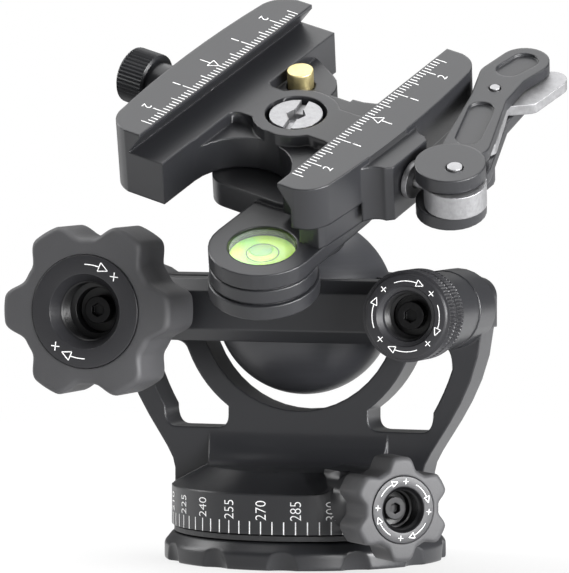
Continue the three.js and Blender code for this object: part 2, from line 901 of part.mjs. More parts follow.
function clampBase() {
  const bottom = down(clampThickness);
  const edge = jawGap / 2;
  const shell = alongJaws([
    [-jawMidReach, bottom],
    [jawMidReach + overrun, bottom],
    [jawMidReach + overrun, jawTop],
    [edge, jawTop],
    [edge, down(jawLipHeight)],
    [edge + dovetailUndercut, down(floorDrop)],
    [edge + dovetailUndercut, down(pocketDrop)],
    [-floorWall, down(pocketDrop)],
    [-floorWall, down(railDrop)],
    [-jawMidReach, down(railDrop)],
  ]);
  const headBottom = clampScrewTop() - clampScrewHeadHeight;
  const detentFloor = down(detentTopDrop) - detentLength - detentTravel - touchGap;
  const springFloor = detentFloor - detentSpringLength - touchGap;
  let body = shell.add(raisedFloor())
    .intersect(slab(clampOutline(railSetback), bottom - overrun, jawTop + overrun))
    .subtract(leftNotch())
    .subtract(rightNotch())
    .subtract(rod(clampScrewWellRadius, headBottom - touchGap, jawTop))
    .subtract(rod(clampScrewShankRadius + touchGap, bottom - overrun, jawTop, coarse))
    .subtract(rod(detentRadius + touchGap, springFloor, jawTop, coarse)
      .translate([detentAlong, detentAcross, 0]))
    .subtract(acrossRod(drawbarRadius + touchGap, -jawMidReach, drawbarEnd + touchGap,
      leverAlong, drawbarDrop))
    .subtract(acrossRod(adjusterScrewRadius + touchGap, adjusterScrewEnd - touchGap,
      jawMidReach + overrun, adjusterAlong, adjusterDrop));
  for (const side of [-1, 1]) {
    body = body
      .subtract(acrossRod(guideRadius + touchGap, -jawMidReach,
        guideBaseDepth + touchGap - floorWall, side * (jawHalfLength - guideInset), guideDrop))
      .subtract(acrossRod(jawSpringRadius + touchGap, -jawMidReach,
        jawSpringDepth + touchGap * 2 - floorWall, side * jawSpringSpacing, guideDrop));
  }
  return body;
}

// Plan of the lug that the drawbar passes through
function lugOutline() {
  const low = leverAlong - lugHalfWidth;
  const high = leverAlong + lugHalfWidth;
  const root = -jawShoulderReach;
  const shape = new THREE.Shape();
  shape.moveTo(low - lugFlare, root);
  shape.quadraticCurveTo(low, -jawMidReach, low, -lugReach + lugCorner);
  shape.lineTo(low + lugCorner, -lugReach);
  shape.lineTo(high - lugCorner, -lugReach);
  shape.lineTo(high, -lugReach + lugCorner);
  shape.quadraticCurveTo(high, -jawMidReach, high + lugFlare, root);
  return shape;
}

function movableJaw() {
  const edge = jawGap / 2;
  const wall = edge + dovetailUndercut;
  const bottom = down(railDrop) + touchGap;
  const jaw = alongJaws([
    [-jawMidReach - overrun, bottom],
    [-wall, bottom],
    [-wall, down(floorDrop)],
    [-edge, down(jawLipHeight)],
    [-edge, jawTop],
    [-jawMidReach - overrun, jawTop],
  ]).intersect(slab(clampOutline(0), bottom - overrun, jawTop + overrun));
  const railFace = -jawMidReach + railSetback - runningGap;
  const lowerLug = slab(lugOutline(), down(lugBottomDrop), bottom)
    .intersect(block(-jawHalfLength, jawHalfLength, -lugReach - overrun, railFace,
      down(lugBottomDrop), bottom));
  let body = jaw
    .add(slab(lugOutline(), bottom, down(lugTopDrop)))
    .add(lowerLug)
    .subtract(acrossRod(drawbarRadius + touchGap, -lugReach - overrun, -floorWall,
      leverAlong, drawbarDrop));
  for (const side of [-1, 1]) {
    body = body.subtract(acrossRod(guideRadius + touchGap, -guideJawReach - touchGap, -floorWall,
      side * (jawHalfLength - guideInset), guideDrop));
  }
  return body;
}

function clampScrew() {
  const top = clampScrewTop();
  const headBottom = top - clampScrewHeadHeight;
  const tip = down(clampThickness) - stemBoreDepth + touchGap;
  const reach = clampScrewRadius + overrun;
  return rod(clampScrewRadius, headBottom, top)
    .add(rod(clampScrewShankRadius, tip, top - hexDepth - overrun, coarse))
    .subtract(rod(hexRadius, top - hexDepth, top + overrun, hexagonSides))
    .subtract(block(-reach, reach, -slotWidth / 2, slotWidth / 2, top - slotDepth, top + overrun))
    .rotate([0, 0, slotTurn]);
}

function detentPin() {
  const top = down(detentTopDrop);
  return rod(detentRadius, top - detentLength, top, medium);
}

// A plain tube that stands in for a wound spring
function plainSpring(radius, bore, length) {
  return rod(radius, 0, length, coarse).subtract(rod(bore, -overrun, length + overrun, coarse));
}

function adjusterKnob() {
  const body = turned([
    [0, adjusterCollarFront],
    [adjusterCollarRadius, adjusterCollarFront],
    [adjusterCollarRadius, adjusterFront],
    [adjusterRadius, adjusterFront],
    [adjusterRadius, adjusterBack],
    [0, adjusterBack],
  ]);
  return facingBack(body.subtract(rod(adjusterScrewRadius + touchGap, 0,
    adjusterScrewHead + touchGap, coarse)))
    .translate([adjusterAlong, 0, down(adjusterDrop)]);
}

// Centre of the cam plates, off the pivot
const camAlong = leverAlong + camOffset * Math.cos(radians(camPhase));
const camAcross = leverPivot + camOffset * Math.sin(radians(camPhase));

function leverArm(bottom, top) {
  return slab(link(armRootAlong, armRootAcross, armRootRadius,
    armElbowAlong, armElbowAcross, armElbowRadius), bottom, top)
    .add(slab(link(armElbowAlong, armElbowAcross, armElbowRadius,
      armKneeAlong, armKneeAcross, armKneeRadius), bottom, top))
    .add(slab(link(armKneeAlong, armKneeAcross, armKneeRadius,
      armTipAlong, armTipAcross, armTipRadius), bottom, top));
}

// The two cam plates share the holes for the pivot pin and the rivet
function leverHoles() {
  const low = down(clampThickness);
  return rod(leverPinRadius + touchGap, low, jawTop, coarse)
    .translate([leverAlong, leverPivot, 0])
    .add(rod(rivetRadius + touchGap, low, jawTop, coarse)
      .translate([rivetAlong, rivetAcross, 0]));
}

function leverUpperPlate() {
  const top = down(leverTopDrop);
  const bottom = top - leverUpperThickness;
  const armTop = top - leverArmStep;
  const rootPocket = slab(link(armRootAlong + pocketMargin, armRootAcross + pocketMargin / 2,
    armRootRadius - pocketMargin, armElbowAlong - pocketMargin * 2,
    armElbowAcross - pocketMargin / 2, armElbowRadius - pocketMargin / 2),
  armTop - pocketDepth, jawTop);
  const tipPocket = slab(link(armKneeAlong + pocketMargin, armKneeAcross,
    armKneeRadius - pocketMargin, armTipAlong, armTipAcross, armTipRadius - pocketMargin),
  armTop - pocketDepth, jawTop);
  return leverArm(bottom, armTop)
    .subtract(rootPocket)
    .subtract(tipPocket)
    .add(rod(camRadius, bottom, top, medium).translate([camAlong, camAcross, 0]))
    .subtract(leverHoles());
}

function leverLowerPlate() {
  const headTop = down(leverLowerDrop);
  const headBottom = headTop - leverLowerThickness;
  const armTop = down(lowerArmDrop);
  const web = leverArm(headBottom, armTop)
    .intersect(block(webStart, webEnd, leverPivot, 0, headBottom, armTop));
  return leverArm(armTop - lowerArmThickness, armTop)
    .add(web)
    .subtract(rod(barrelRadius + runningGap, headTop, jawTop, medium)
      .translate([leverAlong, leverPivot, 0]))
    .add(rod(camRadius, headBottom, headTop, medium).translate([camAlong, camAcross, 0]))
    .subtract(leverHoles());
}

function leverBarrel() {
  const top = down(barrelDrop);
  const pinHole = rod(leverPinRadius + touchGap, top - barrelHeight - overrun, top + overrun,
    coarse).translate([leverAlong, leverPivot, 0]);
  const socket = acrossRod(drawbarRadius + touchGap, leverPivot + barrelRadius / 2, leverPivot
    + barrelRadius * 2, leverAlong, drawbarDrop);
  return rod(barrelRadius, top - barrelHeight, top, medium)
    .translate([leverAlong, leverPivot, 0])
    .subtract(pinHole)
    .subtract(socket);
}

function drawbar() {
  return acrossRod(drawbarRadius, leverPivot + barrelRadius / 2 + touchGap, drawbarEnd,
    leverAlong, drawbarDrop);
}

function safetyCatch() {
  const top = down(catchDrop);
  const bottom = top - catchThickness;
  return slab(link(catchTailAlong, catchTailAcross, catchTailRadius,
    rivetAlong, rivetAcross, catchEyeRadius), bottom, top)
    .add(slab(link(rivetAlong, rivetAcross, catchEyeRadius,
      catchBendAlong, catchBendAcross, catchBendRadius), bottom, top))
    .add(slab(link(catchBendAlong, catchBendAcross, catchBendRadius,
      catchTabAlong, catchTabAcross, catchTabRadius), bottom, top))
    .subtract(rod(rivetRadius + touchGap, bottom - overrun, jawTop, coarse)
      .translate([rivetAlong, rivetAcross, 0]));
}

function levelHousing() {
  const top = down(levelDrop);
  const floor = top - levelHeight;
  const blockTop = down(clampThickness) - touchGap;
  const profile = [[0, floor], [levelFootRadius, floor]];
  for (const band of [2, 1]) {
    const height = top - band * levelBandHeight;
    const radius = band === 2 ? levelFootRadius : levelRadius;
    profile.push([radius, height - levelGrooveWidth]);
    profile.push([levelRadius - levelGrooveDepth, height - levelGrooveWidth]);
    profile.push([levelRadius - levelGrooveDepth, height]);
    profile.push([levelRadius, height]);
  }
  profile.push([levelRadius, top], [0, top]);
  const window = rod(levelWindowRadius, top - vialDepth, top + overrun);
  const arm = slab(link(levelAlong, levelAcross, levelRadius, levelArmRoot, levelAcross,
    levelRadius - touchGap), top - levelArmThickness + levelGrooveWidth, top);
  const hubBlock = slab(roundedRectangle(hubBlockHalfLength, hubBlockHalfWidth, hubBlockCorner),
    blockTop - hubBlockHeight, blockTop);
  return turned(profile, medium).translate([levelAlong, levelAcross, 0])
    .add(arm)
    .add(hubBlock)
    .subtract(window.translate([levelAlong, levelAcross, 0]))
    .subtract(rod(stemHeadRadius + touchGap, floor, jawTop));
}

const lensTop = down(levelDrop) - lensSink;
const vialTop = lensTop - lensThickness - touchGap;

function levelVial() {
  const bottom = down(levelDrop) - vialDepth + touchGap;
  const well = bubbleDepth + touchGap;
  return rod(levelWindowRadius - touchGap, bottom, vialTop)
    .subtract(rod(bubbleRadius + touchGap, vialTop - well, vialTop + overrun, coarse)
      .translate([bubbleDrift, bubbleDrift, 0]))
    .translate([levelAlong, levelAcross, 0]);
}

function levelLens() {
  return rod(levelWindowRadius - touchGap, lensTop - lensThickness, lensTop)
    .translate([levelAlong, levelAcross, 0]);
}

function levelBubble() {
  return rod(bubbleRadius, vialTop - bubbleDepth, vialTop, coarse)
    .translate([levelAlong + bubbleDrift, levelAcross + bubbleDrift, 0]);
}

// Lays a knob group down so that its height is its reach to the front
function knobGroup(x) {
  const group = new THREE.Group();
  group.position.set(x, 0, ballHeight);
  group.rotation.x = radians(quarterTurn);
  return group;
}

function fixedBase() {
  const group = new THREE.Group();
  group.add(mesh('mounting_disk', mountingDisk(), blackAnodised));
  group.add(mesh('thread_insert', threadInsert(), steel));
  group.add(mesh('pan_bearing_ring', panBearing(), nylon));
  return group;
}

function turningBody() {
  const group = new THREE.Group();
  const plug = (name, radius, top, turn, look) => {
    const made = mesh(name, conePlug(radius, top), look);
    made.position.z = panKnobHeight;
    made.rotation.x = radians(quarterTurn);
    const arm = new THREE.Group();
    arm.rotation.z = radians(panKnobTurn + turn);
    arm.add(made);
    group.add(arm);
  };
  group.add(mesh('body_yoke', bodyYoke(), blackAnodised));
  group.add(mesh('front_clamp_bar', frontClampBar(), blackAnodised));
  const mainWasher = washer(mainWasherRadius, barFront + touchGap, mainKnobBack - touchGap);
  const tensionWasher = washer(tensionWasherRadius, barFront + touchGap,
    tensionKnobBack - touchGap);
  const left = knobGroup(-knobSpacing);
  left.add(mesh('main_thrust_washer', mainWasher, steel));
  const right = knobGroup(knobSpacing);
  right.add(mesh('tension_thrust_washer', tensionWasher, steel));
  group.add(left, right);
  plug('pan_lock_shoe', shoeRadius, tipReach + shoeLength, 0, brass);
  plug('pan_retaining_screw_1', retainerRadius, bodyRadius - retainerRecess,
    retainerSpacing, steel);
  plug('pan_retaining_screw_2', retainerRadius, bodyRadius - retainerRecess,
    retainerSpacing * 2, steel);
  return group;
}

function mainKnob() {
  const group = knobGroup(-knobSpacing);
  const studTop = mainFloor - mainFloorThickness - touchGap;
  const cap = capScrew(capScrewRadius, capScrewHeight, capSocketRadius, mainFloor + touchGap);
  group.add(mesh('main_knob_core', mainKnobCore(), greyAnodised));
  group.add(mesh('main_knob_grip', mainKnobGrip(), rubber));
  group.add(mesh('main_knob_stud', clampingStud(studTop), steel));
  group.add(mesh('main_knob_cap_screw', cap, steel));
  return group;
}

function tensionKnobSet() {
  const group = knobGroup(knobSpacing);
  const studTop = tensionFloor - mainFloorThickness - touchGap;
  const cap = capScrew(capScrewRadius, capScrewHeight, capSocketRadius, tensionFloor + touchGap);
  group.add(mesh('tension_knob', tensionKnob(), greyAnodised));
  group.add(mesh('tension_knob_stud', clampingStud(studTop), steel));
  group.add(mesh('tension_knob_cap_screw', cap, steel));
  return group;
}

function panKnob() {
  const group = new THREE.Group();
  const inner = new THREE.Group();
  const cap = capScrew(panCapRadius, panCapHeight, panCapSocketRadius, panFloor + touchGap);
  group.rotation.z = radians(panKnobTurn);
  inner.position.z = panKnobHeight;
  inner.rotation.x = radians(quarterTurn);
  inner.add(mesh('pan_knob_core', panKnobCore(), greyAnodised));
  inner.add(mesh('pan_knob_grip', panKnobGrip(), rubber));
  inner.add(mesh('pan_lock_screw', panLockScrew(), steel));
  inner.add(mesh('pan_knob_cap_screw', cap, steel));
  group.add(inner);
  return group;
}

// Lever with its plates, pin, rivet and safety catch
function lever() {
  const group = new THREE.Group();
  const pinTop = down(leverTopDrop) + leverPinProud;
  const pinBottom = down(leverLowerDrop) - leverLowerThickness - leverPinProud;
  const rivetBottom = down(lowerArmDrop) - lowerArmThickness - leverPinProud;
  group.add(mesh('lever_upper_plate', leverUpperPlate(), blackAnodised));
  group.add(mesh('lever_lower_plate', leverLowerPlate(), blackAnodised));
  const pin = rod(leverPinRadius, pinBottom, pinTop, coarse);
  group.add(mesh('lever_pivot_pin', pin.translate([leverAlong, leverPivot, 0]), steel));
  const rivet = rod(rivetRadius, rivetBottom, pinTop - leverArmStep, coarse);
  group.add(mesh('lever_rivet', rivet.translate([rivetAlong, rivetAcross, 0]), steel));
  group.add(mesh('safety_catch', safetyCatch(), steel));
  return group;
}

function clamp() {
  const group = new THREE.Group();
  const springBottom = down(detentTopDrop) - detentLength - detentTravel - touchGap
    - detentSpringLength;
  group.add(mesh('clamp_base', clampBase(), blackAnodised));
  group.add(mesh('clamp_screw', clampScrew(), steel));
  group.add(mesh('movable_jaw', movableJaw(), blackAnodised));
  group.add(mesh('detent_pin', detentPin().translate([detentAlong, detentAcross, 0]), brass));
  const detentSpring = plainSpring(detentSpringRadius, detentSpringBore, detentSpringLength)
    .translate([detentAlong, detentAcross, springBottom]);
  group.add(mesh('detent_spring', detentSpring, steel));
  for (const [index, side] of [-1, 1].entries()) {
    const pin = acrossRod(guideRadius, -guideJawReach, guideBaseDepth - floorWall,
      side * (jawHalfLength - guideInset), guideDrop);
    const spring = facingBack(plainSpring(jawSpringRadius, jawSpringBore, jawSpringDepth))
      .translate([side * jawSpringSpacing, -floorWall, down(guideDrop)]);
    group.add(mesh(`jaw_guide_pin_${index + 1}`, pin, steel));
    group.add(mesh(`jaw_spring_${index + 1}`, spring, steel));
  }
  group.add(mesh('drawbar', drawbar(), steel));
  group.add(mesh('lever_barrel', leverBarrel(), steel));
  const jawWasher = acrossRod(thrustWasherRadius, -lugReach - touchGap - thrustWasherThickness,
    -lugReach - touchGap, leverAlong, drawbarDrop, medium)
    .subtract(acrossRod(drawbarRadius + touchGap, leverPivot, -floorWall, leverAlong,
      drawbarDrop));
  group.add(mesh('jaw_thrust_washer', jawWasher, steel));
  group.add(mesh('adjuster_knob', adjusterKnob(), blackAnodised));
  const adjusterScrew = acrossRod(adjusterScrewRadius, adjusterScrewEnd, adjusterScrewHead,
    adjusterAlong, adjusterDrop);
  group.add(mesh('adjuster_screw', adjusterScrew, steel));
  group.add(mesh('level_housing', levelHousing(), blackAnodised));
  group.add(mesh('level_vial', levelVial(), fluid));
  group.add(mesh('level_lens', levelLens(), lensClear));
  group.add(mesh('level_bubble', levelBubble(), bubbleGrey));
  group.add(lever());
  return group;
}

// The ball and what stands on it, each lean nested in the one before
function ballAndClamp() {
  const front = new THREE.Group();
  const side = new THREE.Group();
  const swivel = new THREE.Group();
  front.position.z = ballHeight;
  front.rotation.x = radians(frontLean);
  side.rotation.y = radians(sideLean);
  swivel.rotation.z = radians(swivelTurn);
  front.add(mesh('ball', sphere(ballRadius, ballSides), blackAnodised));
  side.add(mesh('ball_stem', ballStem(), blackAnodised));
  swivel.add(clamp());
  side.add(swivel);
  front.add(side);
  return front;
}

const head = new THREE.Group();
head.name = 'ball_head';
head.add(fixedBase(), turningBody(), mainKnob(), tensionKnobSet(), panKnob(), ballAndClamp());

export default head;
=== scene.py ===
"""Looks of the ball head: smooth pieces, engraved scales, finishes and the studio."""

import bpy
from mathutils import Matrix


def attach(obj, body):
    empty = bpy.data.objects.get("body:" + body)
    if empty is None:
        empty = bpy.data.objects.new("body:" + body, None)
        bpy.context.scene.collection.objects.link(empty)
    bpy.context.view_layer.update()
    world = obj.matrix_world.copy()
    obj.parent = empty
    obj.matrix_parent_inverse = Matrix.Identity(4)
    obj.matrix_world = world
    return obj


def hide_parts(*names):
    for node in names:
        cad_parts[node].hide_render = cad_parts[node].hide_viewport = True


bl_info = {
    "name": "Tripod ball head",
    "version": (1, 0, 0),
    "blender": (4, 5, 0),
    "location": "View3D > Sidebar > Ball head",
    "description": "Dresses the ball head with its pieces, scales and finishes",
    "category": "Add Mesh",
}

import math

import bmesh
import bpy
import numpy as np
from mathutils import Vector

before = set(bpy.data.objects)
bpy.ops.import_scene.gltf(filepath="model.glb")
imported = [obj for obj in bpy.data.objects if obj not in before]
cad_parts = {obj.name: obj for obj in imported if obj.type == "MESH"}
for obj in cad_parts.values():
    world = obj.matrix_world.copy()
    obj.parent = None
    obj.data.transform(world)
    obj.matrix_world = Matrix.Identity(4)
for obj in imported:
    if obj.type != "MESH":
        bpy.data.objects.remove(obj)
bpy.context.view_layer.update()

# Lengths are in millimetres and angles in degrees, where a comment says nothing else.
# MM is the length of a millimetre in the scene's metres.
MM = 0.001
TURN = 2 * math.pi
HALVES = (0, 180)
QUARTERS = (0, 90, 180, 270)

# Places and poses that the solids share
BALL_HEIGHT = 52
FRONT_LEAN = 30.15
SIDE_LEAN = 7.81
SWIVEL = 71.74
JAW_TOP = 51.5
KNOB_SPACING = 33
PAN_TURN = 45
PAN_HEIGHT = 13.6

# Mounting disk
DISK_RADIUS = 29
DISK_RIM = 3.4
DISK_TOP = 5.5
DISK_TOP_RADIUS = 27.3
HUB_RADIUS = 19.6
HUB_TOP = 15.7
GROOVE_DEPTH = 1.5
DISK_EDGE = 0.5
INSERT_RADIUS = 8.1
INSERT_COLLAR = 9.7
INSERT_COLLAR_HEIGHT = 2.3
FLUTES = 12
FLUTE_RADIUS = 5
FLUTE_DEPTH = 1.5
FLUTE_LEAN = 16
FLUTE_START = -19.5
FLUTE_ROWS = 8
# Sides of the disk this far out and this high get extra rows of points for the flutes
FLUTED_OUT = 20.6
FLUTED_HIGH = 0.5

# Degree scale
SCALE_RADIUS = 27.5
SCALE_TURN = 0.7
TICK_LOW = 7.15
TICK_HIGH = 9.75
TICK_STEP = 5
NUMBER_LOW = 10.05
NUMBER_STEP = 15
NUMBER_SQUEEZE = 0.84

# Marks
MARK_LIFT = 0.02
MARK_DEPTH = 0.03
# Shares of an arrow head's size that lie behind its middle and to each side
HEAD_BACK = 0.65
HEAD_SIDE = 0.78
PLUS_SHARE = 1.5
# Thins the strokes of the figures, as a share of their height
STROKE_OFFSET = -0.012

# Lobed grips: the wave's rise and span give flat tips and round valleys
LOBES = 6
LOBE_RISE = 0.95
LOBE_SPAN = 1.65
GRIP_SIDES = 240
GRIP_BEND = 8
GRIP_GAP = 0.1

# Main knob. The outlines of hollows are points of radius and height. Rings are those of a
# thread: outer and inner radius, top, foot and number.
MAIN_RADIUS = 18.1
MAIN_VALLEY = 14.7
MAIN_PHASE = 0
MAIN_BACK = 24.4
MAIN_FRONT = 38.8
MAIN_CORE = 11.4
MAIN_FACE = 39.1
MAIN_THREAD = 6.2
MAIN_EDGE = 1.4
MAIN_CORE_EDGE = 0.2
MAIN_MOUTH = ((7.6, MAIN_FACE), (7.5, 38.9), (MAIN_THREAD, 36.8))
MAIN_RINGS = (6.1, 5.6, 36.6, 32.4, 6)
MAIN_WELL = ((4.6, 32.2), (4.6, 29.5), (0, 29.5))
MAIN_MARKS = {"radius": 9.5, "size": 1.2, "width": 0.19, "turns": HALVES,
              "arc": (66, 90), "plus_at": 48, "lean": 35}

# Pan knob
PAN_RADIUS = 10.5
PAN_VALLEY = 8.3
PAN_PHASE = 30
PAN_BACK = 36
PAN_FRONT = 45.5
PAN_CORE = 6.7
PAN_BORE = 4.5
PAN_EDGE = 1.1
PAN_CORE_EDGE = 0.12
PAN_GRIP_DROP = 0.2
PAN_MOUTH = ((4.6, PAN_FRONT), (4.3, 44.9))
PAN_RINGS = (4.1, 3.7, 44.6, 41.5, 4)
PAN_WELL = ((3.4, 41.3), (3.4, 39.9), (0, 39.9))
PAN_MARKS = {"radius": 5.65, "size": 0.75, "width": 0.12, "turns": QUARTERS,
             "arc": (110, 150), "plus_at": 84}

# Tension knob
TENSION_RADIUS = 9.1
TENSION_HOLLOW = 4.9
TENSION_BACK = 23.6
TENSION_FRONT = 33.4
TENSION_TEETH = 78
TENSION_FOOT = ((0, TENSION_BACK), (8.3, TENSION_BACK), (8.6, 23.9))
TENSION_MOUTH = ((8.5, 33.1), (8.2, 33.34), (8, TENSION_FRONT), (6.1, TENSION_FRONT),
                 (5.9, 33.1), (5.1, 32.6), (5, 32.2))
TENSION_RINGS = (TENSION_HOLLOW, 4.5, 31.8, 29.2, 4)
TENSION_WELL = ((4, 28.9), (4, 27.9), (0, 27.9))
TENSION_MARKS = {"radius": 7, "size": 0.9, "width": 0.15, "turns": QUARTERS,
                 "arc": (66, 110), "plus_at": 41}
# Knurled bands: foot and top of each, rows of points, and the grooves beside them
BANDS = ((24.3, 28.1), (28.9, 32.8))
BAND_ROWS = 22
BAND_SLOPE = 0.15
BAND_GROOVE = 8.55
BAND_MARGIN = 0.01
# Columns of points for each ridge, and how far in from the outside a ridge can lie
RIDGE_COLUMNS = 8
RIDGE_REACH = 0.05

# Adjuster
ADJUSTER_TEETH = 44
ADJUSTER_ALONG = -2.2
ADJUSTER_DROP = 7.4
ADJUSTER_RADIUS = 5.8
ADJUSTER_BAND = (33.7, 39.3)
ADJUSTER_FOOT = ((0, 29.4), (4.3, 29.4), (4.3, 33.2), (5.2, 33.2), (5.7, 33.6))
ADJUSTER_HEAD = ((5.7, 39.4), (5.2, 39.8), (0, 39.8))
ADJUSTER_ROWS = 6

# Ball
BALL_RADIUS = 18.4

# Clamp: the edge of a jaw's top, the detent pin and the bubble level
JAW_EDGE = 16.75
PIN_PLACE = (12.4, 7.7, 0)
PIN_OUTLINE = ((0, 42.7), (2.7, 42.7), (2.7, 47.7), (0, 47.7))
PIN_EDGE = 0.3
LEVEL_PLACE = (-29.6, -12.3)
LEVEL_FACE = 33.73
LEVEL_RING = 3.2
LEVEL_RING_WIDTH = 0.2

# Jaw scales: lengths of the millimetre ticks, all from the edge of the jaw
SCALE_REACH = 25
SCALE_GAP = 0.35
SCALE_TICK = 1.6
SCALE_FIVE = 2.6
SCALE_TEN = 3.4
SCALE_LINE_SHARE = 0.85
FIGURE_HEIGHT = 1.9
FIGURE_MIDDLE = 5.3
# The mark at the middle: two lines, as middle and length, and an open triangle between them
CENTRE_LINES = ((1.2, 1.6), (5.5, 2.6))
CENTRE_TIP = 2.1
CENTRE_HEIGHT = 2.1
CENTRE_HALF_WIDTH = 1.15
CENTRE_LINE_SHARE = 0.8

# Finishes: what the three parts of the fluid's colour are multiplied by where it is deep,
# and the painted shade in a bore, as a share of its colour, and the shares of its radius
# between which that painted shade ends
FLUID_DEPTH = (0.6, 0.88, 1.6)
PAINTED_BORE_SHADE = 0.3
BORE_INNER = 0.96
BORE_OUTER = 1.03
# Rays that look for an edge from each point of a finish
EDGE_SAMPLES = 8

# A rounded corner takes at most this share of a side
SIDE_SHARE = 0.45
# Distances in metres within which points are joined
WELD = 0.000002
COPY_WELD = 0.00001
# Angles between faces that still count as one plane, and from which an edge is crisp
FLAT_ANGLE = 0.6
COPY_CRISP = 16

# Stage, in metres
CAMERA_PLACE = (0.33757, -0.93996, 0.10617)
CAMERA_WAY = (-0.341585, 0.938498, -0.050419)
CAMERA_LENS = 305.34
# Lamps: name, width and height, power in watts, place and target
LAMPS = (
    ("overhead", (1.3, 1.3), 11.4, (-0.14, 0.2, 0.85), (0, 0, 0.06)),
    ("left_fill", (0.3, 0.9), 6, (-0.75, -0.05, 0.5), (0, 0, 0.06)),
    ("right_fill", (0.5, 0.5), 26, (1.1, -0.25, 0.15), (0, 0, 0.05)),
    ("table_fill", (0.5, 0.3), 9.5, (0.8, -0.6, 0.15), (0.02, -0.05, 0.03)),
)
# Strength of the world as a light, and the share of the rest that reflections show
SKY_LIGHT = 0.08
SKY_GLOSS = 0.06
FLOOR_REACH = 4
# The floor turns white between these distances from the object
FLOOR_NEAR = 0.06
FLOOR_FAR = 0.4


class HeadSettings(bpy.types.PropertyGroup):
    """Sizes and colours of the finish."""

    edge_radius: bpy.props.FloatProperty(
        name="Edge radius", description="Softness of machined edges in the finish",
        default=0.0006, min=0, unit="LENGTH",
    )
    tick_width: bpy.props.FloatProperty(
        name="Tick width", description="Width of the engraved lines",
        default=0.00023, min=0, unit="LENGTH",
    )
    knurl_depth: bpy.props.FloatProperty(
        name="Knurl depth", description="Depth of the knurling on the small knobs",
        default=0.0004, min=0, unit="LENGTH",
    )
    number_height: bpy.props.FloatProperty(
        name="Number height", description="Height of the engraved degree numbers",
        default=0.00222, min=0, unit="LENGTH",
    )
    black: bpy.props.FloatVectorProperty(
        name="Black anodising", description="Colour of the machined body",
        default=(0.019, 0.0195, 0.022), size=3, min=0, max=1, subtype="COLOR",
    )
    charcoal: bpy.props.FloatVectorProperty(
        name="Charcoal anodising", description="Colour of the metal parts of the knobs",
        default=(0.022, 0.022, 0.0245), size=3, min=0, max=1, subtype="COLOR",
    )
    rubber: bpy.props.FloatVectorProperty(
        name="Grip rubber", description="Colour of the lobed grips",
        default=(0.049, 0.049, 0.052), size=3, min=0, max=1, subtype="COLOR",
    )
    steel: bpy.props.FloatVectorProperty(
        name="Stainless steel", description="Colour of screws, barrel and catch",
        default=(0.42, 0.42, 0.43), size=3, min=0, max=1, subtype="COLOR",
    )
    brass: bpy.props.FloatVectorProperty(
        name="Brass", description="Colour of the detent pin",
        default=(0.86, 0.7, 0.36), size=3, min=0, max=1, subtype="COLOR",
    )
    engraving: bpy.props.FloatVectorProperty(
        name="Engraving", description="Colour of the filled engraving",
        default=(0.96, 0.96, 0.96), size=3, min=0, max=1, subtype="COLOR",
    )
    fluid: bpy.props.FloatVectorProperty(
        name="Level fluid", description="Colour of the fluid in the bubble level",
        default=(0.62, 0.95, 0.1), size=3, min=0, max=1, subtype="COLOR",
    )


def settings():
    """Sizes and colours that the panel shows."""
    return bpy.context.scene.ball_head


# Shader maths

class Term:
    """A number in a shader, on which Python's operators make Math nodes."""

    def __init__(self, maker, socket):
        self.maker = maker
        self.socket = socket

    def math(self, operation, first, second):
        node = self.maker.node("Math", {"operation": operation}, first, second)
        return Term(self.maker, node.outputs[0])

    def __add__(self, other):
        return self.math("ADD", self, other)

    def __mul__(self, other):
        return self.math("MULTIPLY", self, other)

    def __sub__(self, other):
        return self.math("SUBTRACT", self, other)

    def __rsub__(self, other):
        return self.math("SUBTRACT", other, self)

    __radd__ = __add__
    __rmul__ = __mul__


class NodeMaker:
    """Makes the nodes of one material or world."""

    def __init__(self, owner):
        owner.use_nodes = True
        self.tree = owner.node_tree

    def node(self, kind, chosen=None, *values, **named):
        """Makes a node, sets its settings first, then its sockets by order or by name."""
        made = self.tree.nodes.new("ShaderNode" + kind)
        for key, value in (chosen or {}).items():
            setattr(made, key, value)
        for socket, value in zip(made.inputs, values):
            self.feed(socket, value)
        for key, value in named.items():
            self.feed(made.inputs[key.replace("_", " ")], value)
        return made

    def feed(self, socket, value):
        """Links a term or a socket to a socket, or sets a plain value."""
        if isinstance(value, Term):
            value = value.socket
        if isinstance(value, bpy.types.NodeSocket):
            self.tree.links.new(value, socket)
        else:
            socket.default_value = value

    def ray_kind(self, kind):
        """1 for rays of a kind and 0 for all others."""
        return Term(self, self.node("LightPath").outputs[f"Is {kind} Ray"])


